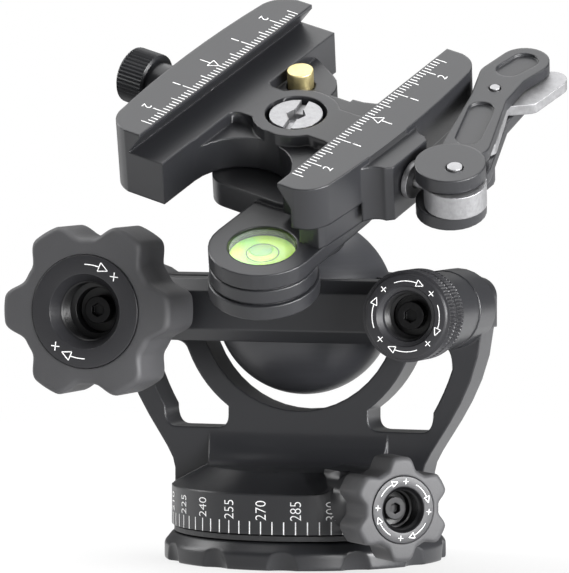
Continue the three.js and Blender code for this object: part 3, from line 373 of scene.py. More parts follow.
class Finish(NodeMaker):
    """One material and the nodes that make it."""

    def __init__(self, name):
        self.material = bpy.data.materials.new(name)
        super().__init__(self.material)
        self.shader = self.tree.nodes["Principled BSDF"]
        self.place = self.node("TexCoord").outputs["Object"]

    def noise(self, per_metre, detail, stretch=(1, 1, 1)):
        """Noise of about 0 to 1 with a number of bumps per metre."""
        mapped = self.node("Mapping", None, self.place, Scale=stretch).outputs[0]
        made = self.node("TexNoise", None, Vector=mapped, Scale=per_metre, Detail=detail)
        return Term(self, made.outputs["Fac"])

    def mix(self, share, first, second):
        """A colour between two others."""
        made = self.node("Mix", {"data_type": "RGBA"}, share)
        # The colour sockets of this node come after those for numbers and vectors
        for socket, colour in zip(made.inputs[6:8], (first, second)):
            self.feed(socket, (*colour, 1) if isinstance(colour, tuple) else colour)
        return made.outputs[2]

    def shaded(self, share, colour, darkest, palest):
        """A colour that goes from a darker to a paler form of itself."""
        return self.mix(share, shade(colour, darkest), shade(colour, palest))

    def axis_distance(self, point, direction):
        """Distance from a line: the length of the cross product of the way from a point
        of the line and the line's direction."""
        away = self.node("VectorMath", {"operation": "SUBTRACT"}, self.place, point)
        crossed = self.node("VectorMath", {"operation": "CROSS_PRODUCT"},
                            away.outputs[0], direction)
        length = self.node("VectorMath", {"operation": "LENGTH"}, crossed.outputs[0])
        return Term(self, length.outputs["Value"])

    def step(self, term, low, high):
        """A smooth rise from 0 at low to 1 at high."""
        made = self.node("MapRange", {"interpolation_type": "SMOOTHSTEP"}, term, low, high, 0, 1)
        return Term(self, made.outputs[0])

    def bump(self, height, strength, depth, edge=0):
        """Relief, on edges that are softened by a small radius."""
        made = self.node("Bump", None, Strength=strength, Distance=depth, Height=height)
        if edge:
            soft = self.node("Bevel", {"samples": EDGE_SAMPLES}, Radius=edge)
            self.feed(made.inputs["Normal"], soft.outputs[0])
        self.feed(self.shader.inputs["Normal"], made.outputs[0])

    def set(self, **named):
        """Sets or links sockets of the shader by name."""
        for key, value in named.items():
            self.feed(self.shader.inputs[key.replace("_", " ")], value)


def shade(colour, share):
    """A colour made darker or lighter by a share of itself."""
    return tuple(min(1, part * share) for part in colour)


def anodised(name, colour, bore=None, edge_share=1):
    """Bead-blasted and anodised aluminium: fine grain, faint clouds, soft edges. A bore is
    given as a point, a direction and a radius, and shade is painted inside it: the colour
    there is darkened as painted shade. Knurled pieces take a smaller share of the edge radius."""
    made = Finish(name)
    clouds = made.noise(per_metre=90, detail=4)
    grain = made.noise(per_metre=5200, detail=2)
    base = made.shaded(clouds * 0.6 + grain * 0.4, colour, darkest=0.86, palest=1.16)
    # Painted shade: inside the bore the colour is darkened to stand in for the shade of the hollow
    if bore:
        point, direction, radius = bore
        away = made.axis_distance(point, direction)
        outside = made.step(away, radius * BORE_INNER, radius * BORE_OUTER)
        base = made.mix(outside, shade(colour, PAINTED_BORE_SHADE), base)
    made.set(Base_Color=base, Metallic=0.1, Roughness=0.28 + clouds * 0.08 + grain * 0.06,
             Specular_IOR_Level=0.4 if bore else 0.55)
    made.bump(grain, strength=0.22, depth=0.00005, edge=settings().edge_radius * edge_share)
    return made.material


def turned_black(name, colour):
    """Black anodised metal that keeps the level rings of the lathe. Its black is lifted to a paler
    grey as painted light, for the light the ball catches from below.
    """
    made = Finish(name)
    rings = made.noise(per_metre=2400, detail=2, stretch=(0.03, 0.03, 1))
    clouds = made.noise(per_metre=120, detail=3)
    # Painted light: the black is lifted 1.2 to 2.1 times; the rings between those tones are the
    # lathe's
    base = made.shaded(rings * 0.7 + clouds * 0.3, colour, darkest=1.2, palest=2.1)
    made.set(Base_Color=base, Metallic=0.15, Roughness=0.34 + rings * 0.1,
             Specular_IOR_Level=0.6)
    made.bump(rings, strength=0.3, depth=0.00004, edge=settings().edge_radius)
    return made.material


def turned_metal(name, colour, roughness, pitch):
    """Turned metal: fine rings of the tool, and small clouds in the polish."""
    made = Finish(name)
    streaks = made.noise(per_metre=pitch, detail=2, stretch=(1, 1, 0.05))
    clouds = made.noise(per_metre=900, detail=4)
    base = made.shaded(streaks * 0.4 + clouds * 0.6, colour, darkest=0.55, palest=1.25)
    made.set(Base_Color=base, Metallic=1, Roughness=roughness + streaks * 0.12 + clouds * 0.1)
    made.bump(streaks * 0.5 + clouds * 0.5, strength=0.5, depth=0.00006,
              edge=settings().edge_radius / 2)
    return made.material


def grip_rubber(name, colour):
    """Moulded rubber: matt skin with fine grain and faint clouds."""
    made = Finish(name)
    grain = made.noise(per_metre=3600, detail=3)
    clouds = made.noise(per_metre=160, detail=3)
    base = made.shaded(clouds * 0.5 + grain * 0.5, colour, darkest=0.85, palest=1.2)
    made.set(Base_Color=base, Metallic=0, Roughness=0.52 + grain * 0.14)
    made.bump(grain, strength=0.35, depth=0.00009, edge=settings().edge_radius)
    return made.material


def plain_plastic(name, colour, roughness):
    """Moulded plastic with a faint grain."""
    made = Finish(name)
    grain = made.noise(per_metre=2500, detail=2)
    base = made.shaded(grain, colour, darkest=0.85, palest=1.15)
    made.set(Base_Color=base, Roughness=roughness + grain * 0.1)
    made.bump(grain, strength=0.15, depth=0.00004)
    return made.material


def engraving_fill(name, colour):
    """Paint in the engraved lines, a little uneven, with a faint painted glow that makes it look
    more lit.
    """
    made = Finish(name)
    worn = made.noise(per_metre=2600, detail=3)
    base = made.shaded(made.step(worn, 0.25, 0.6), colour, darkest=0.8, palest=1)
    # Painted light: the paint glows faintly with its own colour
    made.set(Base_Color=base, Roughness=0.55 + worn * 0.15, Emission_Color=base,
             Emission_Strength=0.08)
    return made.material


def level_fluid(name, colour):
    """Dyed fluid with faint swirls, and a painted glow that stands in for light that comes through
    it.
    """
    made = Finish(name)
    swirl = made.noise(per_metre=220, detail=2)
    deep = tuple(part * share for part, share in zip(colour, FLUID_DEPTH))
    base = made.mix(made.step(swirl, 0.35, 0.65), colour, deep)
    # Painted light: the fluid and the bubble glow with their own colour
    made.set(Base_Color=base, Roughness=0.12 + swirl * 0.08, Emission_Color=base,
             Emission_Strength=0.22, Coat_Weight=0.1)
    return made.material


def clear_cap(name):
    """Clear moulded cap over the fluid."""
    made = Finish(name)
    haze = made.noise(per_metre=900, detail=2)
    base = made.mix(haze, (0.8, 0.9, 0.82), (0.9, 0.96, 0.9))
    made.set(Base_Color=base, Roughness=0.06 + haze * 0.05, Alpha=0.1 + haze * 0.08,
             Coat_Weight=0.3)
    return made.material


# Finishes that exist already
finishes = {}


def pan_direction():
    """The way that the pan knob points, of length 1."""
    turn = math.radians(PAN_TURN)
    return (math.sin(turn), -math.cos(turn), 0)


def finish(name):
    """The named finish, made when it is first asked for."""
    if name not in finishes:
        black, charcoal, rubber, steel, brass, engraving, fluid = (
            tuple(getattr(settings(), key)) for key in
            ("black", "charcoal", "rubber", "steel", "brass", "engraving", "fluid"))
        height = BALL_HEIGHT * MM
        main_bore = ((-KNOB_SPACING * MM, 0, height), (0, 1, 0), MAIN_THREAD * MM)
        tension_bore = ((KNOB_SPACING * MM, 0, height), (0, 1, 0), TENSION_HOLLOW * MM)
        pan_bore = ((0, 0, PAN_HEIGHT * MM), pan_direction(), PAN_BORE * MM)
        # For each finish: the function that makes it, its name and the function's values
        make, *values = {
            "black": (anodised, "black_anodised_finish", black),
            # The three knob cores carry painted shade inside their bores
            "main_charcoal": (anodised, "main_charcoal_finish", charcoal, main_bore, 0.3),
            "tension_charcoal": (anodised, "tension_charcoal_finish", charcoal, tension_bore, 0.1),
            "pan_charcoal": (anodised, "pan_charcoal_finish", charcoal, pan_bore, 0.3),
            "ball": (turned_black, "ball_finish", black),
            "knurled": (anodised, "knurled_finish", black, None, 0.1),
            "rubber": (grip_rubber, "grip_rubber_finish", rubber),
            "steel": (turned_metal, "stainless_finish", steel, 0.42, 2600),
            # Steel darkened to near black as painted shade, for screws that sit in shaded hollows
            "shade_darkened_steel": (turned_metal, "screw_finish", shade(steel, 0.06), 0.3, 2600),
            "brass": (turned_metal, "brass_finish", brass, 0.36, 2200),
            "nylon": (plain_plastic, "nylon_finish", (0.03, 0.03, 0.032), 0.5),
            "engraving": (engraving_fill, "engraving_finish", engraving),
            "fluid": (level_fluid, "level_fluid_finish", fluid),
            "bubble": (level_fluid, "level_bubble_finish", (0.3, 0.52, 0.1)),
            "ring": (plain_plastic, "level_ring_finish", (0.02, 0.03, 0.02), 0.4),
            "clear": (clear_cap, "level_cap_finish"),
        }[name]
        finishes[name] = make(*values)
    return finishes[name]


# Places: each takes points in a piece's own millimetres to the scene's millimetres

def in_place(points):
    """For a piece whose own millimetres are the scene's."""
    return points


def turned_matrix(axis, degrees):
    """Rotation about one of the three axes."""
    angle = math.radians(degrees)
    c = math.cos(angle)
    s = math.sin(angle)
    return {
        "x": np.array([[1, 0, 0], [0, c, -s], [0, s, c]]),
        "y": np.array([[c, 0, s], [0, 1, 0], [-s, 0, c]]),
        "z": np.array([[c, -s, 0], [s, c, 0], [0, 0, 1]]),
    }[axis]


CLAMP_TURN = (turned_matrix("x", FRONT_LEAN) @ turned_matrix("y", SIDE_LEAN)
              @ turned_matrix("z", SWIVEL))


def on_clamp(points):
    """From along the jaws, across the jaws and above the ball centre."""
    return points @ CLAMP_TURN.T + np.array([0, 0, BALL_HEIGHT])


def on_front(side):
    """From a knob's face plane and its reach to the front."""
    def place(points):
        return points @ turned_matrix("x", 90).T + np.array([side, 0, BALL_HEIGHT])
    return place


def on_pan_knob(points):
    """From a knob whose height is its reach to the front right, at the height of its axis."""
    laid = points @ turned_matrix("x", 90).T + np.array([0, 0, PAN_HEIGHT])
    return laid @ turned_matrix("z", PAN_TURN).T


def behind_jaw(along, drop):
    """From a knob whose height is its reach across the jaws."""
    def place(points):
        return on_clamp(points @ turned_matrix("x", -90).T + np.array([along, 0, JAW_TOP - drop]))
    return place


# Surfaces: arrays of points on a grid of two parameters

def rounded(corners, radius, steps=5):
    """A profile whose inner corners become curves: each is a quadratic Bezier curve that
    leaves one side and meets the next at the same distance from the corner. That is the
    radius, but at most a share of either side."""
    corners = [np.array(c, float) for c in corners]
    out = [corners[0]]
    for before, here, after in zip(corners, corners[1:], corners[2:]):
        back = before - here
        ahead = after - here
        reach = min(radius, SIDE_SHARE * np.linalg.norm(back), SIDE_SHARE * np.linalg.norm(ahead))
        start = here + back / np.linalg.norm(back) * reach
        end = here + ahead / np.linalg.norm(ahead) * reach
        t = np.linspace(0, 1, steps)[:, None]
        out.extend((1 - t) ** 2 * start + 2 * t * (1 - t) * here + t ** 2 * end)
    out.append(corners[-1])
    return np.array(out)


def revolved(profile, sides, reach=None):
    """Carries a profile round the axis: x is the radius times the cosine of the angle, y the
    radius times its sine, and z the height. Where reach is given, it changes the radius by
    angle and height."""
    angle = np.linspace(0, TURN, sides, endpoint=False)[None, :]
    radius = profile[:, :1] + 0 * angle
    height = profile[:, 1:] + 0 * angle
    if reach is not None:
        radius = reach(radius, angle, height)
    return np.stack([radius * np.cos(angle), radius * np.sin(angle), height], axis=-1)


def lobed_radius(angle, tip, valley, phase):
    """Radius that swings between valley and tip once for each lobe: the valley, plus the
    difference times a smooth step of the cosine of the angle times the number of lobes."""
    wave = np.cos(LOBES * (angle - math.radians(phase)))
    share = np.clip((wave + LOBE_RISE) / LOBE_SPAN, 0, 1)
    return valley + (tip - valley) * share * share * (3 - 2 * share)


def triangle_wave(turns):
    """0 at whole numbers and 1 half way between them, with straight lines from one to the
    other."""
    return 1 - np.abs(2 * (turns - np.floor(turns)) - 1)


def ridged(teeth, outside, bands):
    """Straight ridges on bands of heights, but not in a hollow: the radius, less the depth
    times what a triangle wave of the angle lacks of 1."""
    depth = settings().knurl_depth / MM

    def reach(radius, angle, height):
        cut = depth * (1 - triangle_wave(angle / TURN * teeth))
        on_band = sum((height > low) & (height < high) for low, high in bands)
        return radius - cut * on_band * (radius > outside - RIDGE_REACH)
    return reach


def thread_rings(outer, inner, top, bottom, count):
    """Points of a profile that swings between two radii on its way down."""
    heights = np.linspace(top, bottom, 2 * count + 1)
    return [(outer if i % 2 == 0 else inner, float(z)) for i, z in enumerate(heights)]


def lobed_grip(tip, valley, phase, hole, back, front, edge):
    """A grip round a hole: its rows of points keep their distance from the lobed outline
    outside, by a quarter circle at each edge, and are round at the hole."""
    angle = np.linspace(0, TURN, GRIP_SIDES, endpoint=False)[None, :]
    outline = lobed_radius(angle, tip, valley, phase)
    round_hole = hole + 0 * outline
    bend = np.linspace(0, math.pi / 2, GRIP_BEND)
    low = [(edge * (1 - math.sin(b)), back + edge * (1 - math.cos(b))) for b in bend]
    high = [(edge * (1 - math.cos(b)), front - edge * (1 - math.sin(b))) for b in bend]
    radii = [round_hole, *(outline - inset for inset, _ in low + high), round_hole, round_hole]
    heights = [back, *(height for _, height in low + high), front, back]
    radius = np.concatenate(radii)
    height = np.array(heights, float)[:, None] + 0 * angle
    return np.stack([radius * np.cos(angle), radius * np.sin(angle), height], axis=-1)


def faces_of(rows, columns):
    """Quads of a grid that closes on itself along its columns."""
    row = np.arange(rows - 1)[:, None]
    column = np.arange(columns)[None, :]
    following = (column + 1) % columns
    quads = np.stack([row * columns + column, row * columns + following,
                      (row + 1) * columns + following, (row + 1) * columns + column], axis=-1)
    return quads.reshape(-1, 4).tolist()


def new_mesh(name, points, faces):
    """A mesh from points in millimetres and lists of their numbers."""
    made = bpy.data.meshes.new(name)
    made.from_pydata((points * MM).tolist(), [], faces)
    return made


def join_flat(mesh):
    """Joins triangles that lie in one plane, so that a flat side is shaded evenly."""
    work = bmesh.new()
    work.from_mesh(mesh)
    bmesh.ops.dissolve_limit(work, angle_limit=math.radians(FLAT_ANGLE), verts=work.verts,
                             edges=work.edges)
    work.to_mesh(mesh)
    work.free()


def close_up(mesh, outward=True, reach=WELD):
    """Joins points that coincide, drops faces without area and can turn faces outwards."""
    work = bmesh.new()
    work.from_mesh(mesh)
    bmesh.ops.remove_doubles(work, verts=work.verts, dist=reach)
    bmesh.ops.dissolve_degenerate(work, edges=work.edges, dist=reach)
    if outward:
        bmesh.ops.recalc_face_normals(work, faces=work.faces)
    work.to_mesh(mesh)
    work.free()


def smooth(mesh, degrees):
    """Smooth shading, with edges sharper than the angle kept crisp."""
    mesh.polygons.foreach_set("use_smooth", np.ones(len(mesh.polygons), bool))
    mesh.set_sharp_from_angle(angle=math.radians(degrees))


def paint(mesh, look):
    """Gives a mesh one finish."""
    mesh.materials.clear()
    mesh.materials.append(finish(look))


def add_piece(mesh, look, body, nodes):
    """Puts a mesh in the scene with its finish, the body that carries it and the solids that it
    replaces."""
    piece = bpy.data.objects.new(mesh.name, mesh)
    bpy.context.scene.collection.objects.link(piece)
    paint(mesh, look)
    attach(piece, body)
    if nodes:
        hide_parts(*nodes)
    return piece


def surface_piece(name, grid, place, look, body, nodes, crisp):
    """One piece from a grid of points that closes on itself round the axis. Edges are crisp
    from the given angle."""
    mesh = new_mesh(name, place(grid.reshape(-1, 3)), faces_of(*grid.shape[:2]))
    close_up(mesh)
    smooth(mesh, crisp)
    add_piece(mesh, look, body, nodes)


def smooth_copy(node, name, look, body):
    """A merged and smoothly shaded copy of a solid, which it replaces."""
    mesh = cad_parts[node].data.copy()
    mesh.name = name
    close_up(mesh, outward=False, reach=COPY_WELD)
    join_flat(mesh)
    smooth(mesh, COPY_CRISP)
    piece = add_piece(mesh, look, body, [node])
    weighted = piece.modifiers.new("even_shading", "WEIGHTED_NORMAL")
    weighted.mode = "FACE_AREA_WITH_ANGLE"
    weighted.keep_sharp = True


# Marks: flat outlines that are laid on a surface and given a little depth

def rectangle(x, y, width, height):
    """Corners of a rectangle centred on x, y."""
    return np.array([[x - width / 2, y - height / 2], [x + width / 2, y - height / 2],
                     [x + width / 2, y + height / 2], [x - width / 2, y + height / 2]])


def arc_band(radius, start, end, width, steps=16):
    """Points along the outer arc, then along the inner one, and the quads between them. A
    point is at the radius times the cosine and the sine of its angle."""
    angle = np.radians(np.linspace(start, end, steps))
    outer = np.stack([np.cos(angle), np.sin(angle)], axis=-1) * (radius + width / 2)
    inner = np.stack([np.cos(angle), np.sin(angle)], axis=-1) * (radius - width / 2)
    points = np.concatenate([outer, inner])
    row = np.arange(steps - 1)
    quads = np.stack([row, row + steps, row + steps + 1, row + 1], axis=-1)
    return points, quads


def turned_shape(points, degrees):
    """Turns flat points about their origin: x goes to x times the cosine less y times the
    sine, and y to x times the sine plus y times the cosine."""
    c = math.cos(math.radians(degrees))
    s = math.sin(math.radians(degrees))
    return points @ np.array([[c, s], [-s, c]])


def text_shape(words, height, squeeze=1):
    """Outline of words as flat triangles, centred, with the given height of its figures,
    and narrowed along the line by a share."""
    curve = bpy.data.curves.new("words", "FONT")
    curve.body = words
    curve.size = 1
    curve.resolution_u = 3
    curve.offset = STROKE_OFFSET
    holder = bpy.data.objects.new("words", curve)
    bpy.context.scene.collection.objects.link(holder)
    mesh = bpy.data.meshes.new_from_object(holder)
    flat = np.empty(len(mesh.vertices) * 3)
    mesh.vertices.foreach_get("co", flat)
    flat = flat.reshape(-1, 3)[:, :2]
    faces = [list(p.vertices) for p in mesh.polygons]
    bpy.data.objects.remove(holder)
    bpy.data.curves.remove(curve)
    bpy.data.meshes.remove(mesh)
    low = flat.min(0)
    high = flat.max(0)
    flat = (flat - (low + high) / 2) * height / (high[1] - low[1]) * np.array([squeeze, 1])
    return flat, faces


class Marks:
    """Gathers flat shapes, then lays them all on one surface."""

    def __init__(self):
        self.points = []
        self.faces = []
        self.count = 0

    def add(self, points, faces=None):
        """Adds a shape, which is one face all round unless its faces are given."""
        if faces is None:
            faces = [range(len(points))]
        self.faces.extend([int(i) + self.count for i in face] for face in faces)
        self.points.append(points)
        self.count += len(points)

    def piece(self, name, lay, look, body, slot):
        """lay takes flat points to the scene; the marks then get their depth, half of it to
        each side."""
        flat = np.concatenate(self.points)
        mesh = new_mesh(name, lay(flat), self.faces)
        piece = add_piece(mesh, look, body, ())
        depth = piece.modifiers.new("depth", "SOLIDIFY")
        depth.thickness = MARK_DEPTH * MM
        depth.offset = 0


def bar_between(start, end, width):
    """Corners of a bar from one point to another."""
    along = (end - start) / np.linalg.norm(end - start)
    side = np.array([-along[1], along[0]]) * width / 2
    return np.array([start - side, end - side, end + side, start + side])


def open_triangle(corners, width):
    """Three bars along the sides of a triangle."""
    return [bar_between(a, b, width) for a, b in zip(corners, corners[1:] + corners[:1])]


def arrow_head(size, width):
    """An open triangle that points along x."""
    back = -size * HEAD_BACK
    side = size * HEAD_SIDE
    return open_triangle([np.array([size, 0]), np.array([back, side]),
                          np.array([back, -side])], width)


def plus_mark(size, width):
    """Two crossed bars."""
    return [rectangle(0, 0, size, width), rectangle(0, 0, width, size)]


def circle_point(radius, degrees):
    """The point of a circle at an angle."""
    angle = math.radians(degrees)
    return radius * np.array([math.cos(angle), math.sin(angle)])


def flat_lay(place, height):
    """Lays flat points on a plane at a height of the piece's own axis."""
    def lay(points):
        lifted = np.full((len(points), 1), height + MARK_LIFT)
        return place(np.concatenate([points, lifted], axis=1))
    return lay


def knob_marks(name, place, face, body, radius, size, width, turns, arc, plus_at, lean=0):
    """Clockwise arrows and plus signs round a knob's face, once for each turn. The arc of an
    arrow stops at the back of its head."""
    marks = Marks()
    start, end = arc
    for turn in turns:
        base = start + math.degrees(size * HEAD_BACK / radius)
        marks.add(*arc_band(radius, turn + base, turn + end, width))
        for bar in arrow_head(size, width):
            marks.add(turned_shape(bar, turn + start - 90) + circle_point(radius, turn + start))
        for bar in plus_mark(size * PLUS_SHARE, width):
            marks.add(turned_shape(bar, turn + plus_at + lean)
                      + circle_point(radius, turn + plus_at))
    marks.piece(name, flat_lay(place, face), "engraving", body, "grey_anodised")


def lobed_knob(knob, place, grip, core, face, marks):
    """The pieces of a lobed knob: the rubber grip, the metal core, the screw in its hollow
    and the marks on its face."""
    body = f"{knob}_knob"
    surface_piece(f"{knob}_grip", grip, place, "rubber", body, [f"{body}_grip"],
                  crisp=38)
    surface_piece(f"{knob}_core", core, place, f"{knob}_charcoal", body, [f"{body}_core"],
                  crisp=30)
    smooth_copy(f"{body}_cap_screw", f"{knob}_cap_screw", "shade_darkened_steel", body)
    knob_marks(f"{body}_marks", place, face, body, **marks)


# Operators, one for each piece or group of like pieces, and one for the stage

class HEAD_OT_mounting_disk(bpy.types.Operator):
    """Fluted disk under the head"""

    bl_idname = "head.mounting_disk"
    bl_label = "Mounting disk"

    def execute(self, context):
        profile = rounded([
            (INSERT_COLLAR, 0), (DISK_RADIUS, 0), (DISK_RADIUS, DISK_RIM),
            (DISK_TOP_RADIUS, DISK_TOP), (HUB_RADIUS, DISK_TOP),
            (HUB_RADIUS, PAN_HEIGHT - GROOVE_DEPTH), (HUB_RADIUS - GROOVE_DEPTH, PAN_HEIGHT),
            (HUB_RADIUS, PAN_HEIGHT + GROOVE_DEPTH), (HUB_RADIUS, HUB_TOP),
            (INSERT_RADIUS, HUB_TOP), (INSERT_RADIUS, INSERT_COLLAR_HEIGHT),
            (INSERT_COLLAR, INSERT_COLLAR_HEIGHT), (INSERT_COLLAR, 0),
        ], DISK_EDGE, steps=4)
        fine_rows = []
        for a, b in zip(profile[:-1], profile[1:]):
            fluted = a[0] > FLUTED_OUT and abs(a[1] - b[1]) > FLUTED_HIGH
            count = FLUTE_ROWS if fluted else 1
            fine_rows.extend(a + (b - a) * share for share in np.arange(count) / count)
        fine_rows.append(profile[-1])

        def scooped(radius, angle, height):
            """What leaning round cutters leave. A cutter's near side is at its centre's
            distance times the cosine of the angle from it, less the root of its radius
            squared less the square of that distance times the sine."""
            step = TURN / FLUTES
            turn = angle - math.radians(FLUTE_START)
            away = turn - np.round(turn / step) * step
            centre = (DISK_RADIUS + FLUTE_RADIUS - FLUTE_DEPTH
                      + height * math.tan(math.radians(FLUTE_LEAN)))
            inside = FLUTE_RADIUS ** 2 - (centre * np.sin(away)) ** 2
            cut = centre * np.cos(away) - np.sqrt(np.maximum(inside, 0))
            return np.where(inside > 0, np.minimum(radius, cut), radius)

        disk = revolved(np.array(fine_rows), sides=600, reach=scooped)
        surface_piece("mounting_disk_body", disk, in_place, "black", "base",
                      ["mounting_disk"], crisp=30)
        return {"FINISHED"}


class HEAD_OT_body(bpy.types.Operator):
    """Yoke, front clamp bar and thrust washers"""

    bl_idname = "head.body"
    bl_label = "Yoke and clamp bar"

    def execute(self, context):
        smooth_copy("body_yoke", "yoke", "black", "yoke")
        smooth_copy("front_clamp_bar", "clamp_bar", "black", "yoke")
        smooth_copy("main_thrust_washer", "main_washer", "steel", "yoke")
        smooth_copy("tension_thrust_washer", "tension_washer", "steel", "yoke")
        return {"FINISHED"}


class HEAD_OT_degree_scale(bpy.types.Operator):
    """Engraved degree scale round the foot of the yoke"""

    bl_idname = "head.degree_scale"
    bl_label = "Degree scale"

    def execute(self, context):
        width = settings().tick_width / MM
        height = settings().number_height / MM
        marks = Marks()
        radius = SCALE_RADIUS + MARK_LIFT
        for degree in range(0, 360, TICK_STEP):
            around = math.radians(degree + SCALE_TURN) * radius
            marks.add(rectangle(around, (TICK_LOW + TICK_HIGH) / 2, width, TICK_HIGH - TICK_LOW))
            if degree % NUMBER_STEP == 0:
                flat, faces = text_shape(str(degree), height, NUMBER_SQUEEZE)
                flat = turned_shape(flat, 90)
                flat = flat - np.array([0, flat[:, 1].min()]) + np.array([around, NUMBER_LOW])
                marks.add(flat, faces)

        def lay(points):
            """Wraps the strip round the foot: angle is the run divided by the radius."""
            angle = points[:, 0] / radius
            return np.stack([radius * np.cos(angle), radius * np.sin(angle), points[:, 1]],
                            axis=-1)

        marks.piece("degree_marks", lay, "engraving", "yoke", "black_anodised")
        return {"FINISHED"}


class HEAD_OT_main_knob(bpy.types.Operator):
    """Large lobed knob that clamps the ball"""

    bl_idname = "head.main_knob"
    bl_label = "Main knob"

    def execute(self, context):
        grip = lobed_grip(MAIN_RADIUS, MAIN_VALLEY, MAIN_PHASE, MAIN_CORE + GRIP_GAP,
                          MAIN_BACK, MAIN_FRONT, MAIN_EDGE)
        core = revolved(rounded([
            (0, MAIN_BACK), (MAIN_CORE, MAIN_BACK), (MAIN_CORE, MAIN_FACE), *MAIN_MOUTH,
            *thread_rings(*MAIN_RINGS), *MAIN_WELL,
        ], MAIN_CORE_EDGE), sides=128)
        lobed_knob("main", on_front(-KNOB_SPACING), grip, core, MAIN_FACE, MAIN_MARKS)
        return {"FINISHED"}


class HEAD_OT_tension_knob(bpy.types.Operator):
    """Small knurled knob that sets the drag of the ball"""

    bl_idname = "head.tension_knob"
    bl_label = "Tension knob"

    def execute(self, context):
        place = on_front(KNOB_SPACING)
        rows = [*TENSION_FOOT]
        for low, high in BANDS:
            rows.append((BAND_GROOVE, low - BAND_SLOPE))
            rows.extend((TENSION_RADIUS, z) for z in
                        np.linspace(low - BAND_MARGIN, high + BAND_MARGIN, BAND_ROWS))
            rows.append((BAND_GROOVE, high + BAND_SLOPE))
        rows.extend([*TENSION_MOUTH, *thread_rings(*TENSION_RINGS), *TENSION_WELL])
        knob = revolved(np.array(rows, float), TENSION_TEETH * RIDGE_COLUMNS,
                        ridged(TENSION_TEETH, TENSION_RADIUS, BANDS))
        surface_piece("tension_knob_body", knob, place, "tension_charcoal", "tension_knob_set",
                      ["tension_knob"], crisp=24)
        smooth_copy("tension_knob_cap_screw", "tension_cap_screw", "shade_darkened_steel",
                    "tension_knob_set")
        knob_marks("tension_knob_marks", place, TENSION_FRONT, "tension_knob_set",
                   **TENSION_MARKS)
        return {"FINISHED"}


class HEAD_OT_pan_knob(bpy.types.Operator):
    """Lobed knob that locks the pan"""

    bl_idname = "head.pan_knob"
    bl_label = "Pan knob"

    def execute(self, context):
        grip = lobed_grip(PAN_RADIUS, PAN_VALLEY, PAN_PHASE, PAN_CORE + GRIP_GAP, PAN_BACK,
                          PAN_FRONT - PAN_GRIP_DROP, PAN_EDGE)
        core = revolved(rounded([
            (0, PAN_BACK), (PAN_CORE, PAN_BACK), (PAN_CORE, PAN_FRONT), *PAN_MOUTH,
            *thread_rings(*PAN_RINGS), *PAN_WELL,
        ], PAN_CORE_EDGE), sides=96)
        lobed_knob("pan", on_pan_knob, grip, core, PAN_FRONT, PAN_MARKS)
        return {"FINISHED"}


class HEAD_OT_ball(bpy.types.Operator):
    """Ball and its stem"""

    bl_idname = "head.ball"
    bl_label = "Ball and stem"

    def execute(self, context):
        # Half a circle from pole to pole
        latitude = np.linspace(-math.pi / 2, math.pi / 2, 73)
        profile = BALL_RADIUS * np.stack([np.cos(latitude), np.sin(latitude)], axis=-1)
        surface_piece("ball_surface", revolved(profile, sides=144),
                      lambda points: points + np.array([0, 0, BALL_HEIGHT]), "ball",
                      "ball_body", ["ball"], crisp=60)
        smooth_copy("ball_stem", "stem_surface", "black", "stem")
        return {"FINISHED"}


class HEAD_OT_clamp(bpy.types.Operator):
    """Clamp base, movable jaw, detent pin, screw, washer, barrel and drawbar"""

    bl_idname = "head.clamp"
    bl_label = "Clamp"

    def execute(self, context):
        smooth_copy("clamp_base", "clamp_body", "black", "clamp")
        smooth_copy("movable_jaw", "near_jaw", "black", "jaw")
        smooth_copy("clamp_screw", "centre_screw", "steel", "clamp")
        pin = revolved(rounded(PIN_OUTLINE, PIN_EDGE), sides=64)
        surface_piece("detent_pin_body", pin,
                      lambda points: on_clamp(points + np.array(PIN_PLACE)), "brass", "detent",
                      ["detent_pin"], crisp=40)
        smooth_copy("jaw_thrust_washer", "jaw_washer", "steel", "jaw")
        smooth_copy("lever_barrel", "barrel", "steel", "clamp")
        smooth_copy("drawbar", "drawbar_rod", "steel", "clamp")
        return {"FINISHED"}


class HEAD_OT_jaw_scales(bpy.types.Operator):
    """Engraved centimetre scales on both jaws"""

    bl_idname = "head.jaw_scales"
    bl_label = "Jaw scales"

    def execute(self, context):
        width = settings().tick_width / MM * SCALE_LINE_SHARE
        for side, body, name in ((1, "clamp", "far_jaw_marks"), (-1, "jaw", "near_jaw_marks")):
            marks = Marks()
            for step in range(-SCALE_REACH, SCALE_REACH + 1):
                reach = SCALE_TICK
                if step % 5 == 0:
                    reach = SCALE_FIVE
                if step % 10 == 0:
                    reach = SCALE_TEN
                middle = side * (JAW_EDGE + SCALE_GAP + reach / 2)
                if step != 0:
                    marks.add(rectangle(step, middle, width, reach))
            for away, reach in CENTRE_LINES:
                marks.add(rectangle(0, side * (JAW_EDGE + away), width, reach))
            for centimetre in (-2, -1, 1, 2):
                flat, faces = text_shape(str(abs(centimetre)), FIGURE_HEIGHT)
                if side > 0:
                    flat = turned_shape(flat, 180)
                middle = np.array([centimetre * 10, side * (JAW_EDGE + FIGURE_MIDDLE)])
                marks.add(flat + middle, faces)
            tip = np.array([0, side * (JAW_EDGE + CENTRE_TIP)])
            left = tip + np.array([-CENTRE_HALF_WIDTH, side * CENTRE_HEIGHT])
            right = tip + np.array([CENTRE_HALF_WIDTH, side * CENTRE_HEIGHT])
            for bar in open_triangle([tip, left, right], width * CENTRE_LINE_SHARE):
                marks.add(bar)
            marks.piece(name, flat_lay(on_clamp, JAW_TOP), "engraving", body, "black_anodised")
        return {"FINISHED"}


class HEAD_OT_lever(bpy.types.Operator):
    """Lever plates, pins and safety catch"""

    bl_idname = "head.lever"
    bl_label = "Lever"

    def execute(self, context):
        smooth_copy("lever_upper_plate", "lever_top", "black", "lever")
        smooth_copy("lever_lower_plate", "lever_bottom", "black", "lever")
        smooth_copy("lever_pivot_pin", "lever_pin", "steel", "lever")
        smooth_copy("lever_rivet", "rivet", "steel", "lever")
        smooth_copy("safety_catch", "catch_plate", "steel", "catch")
        return {"FINISHED"}


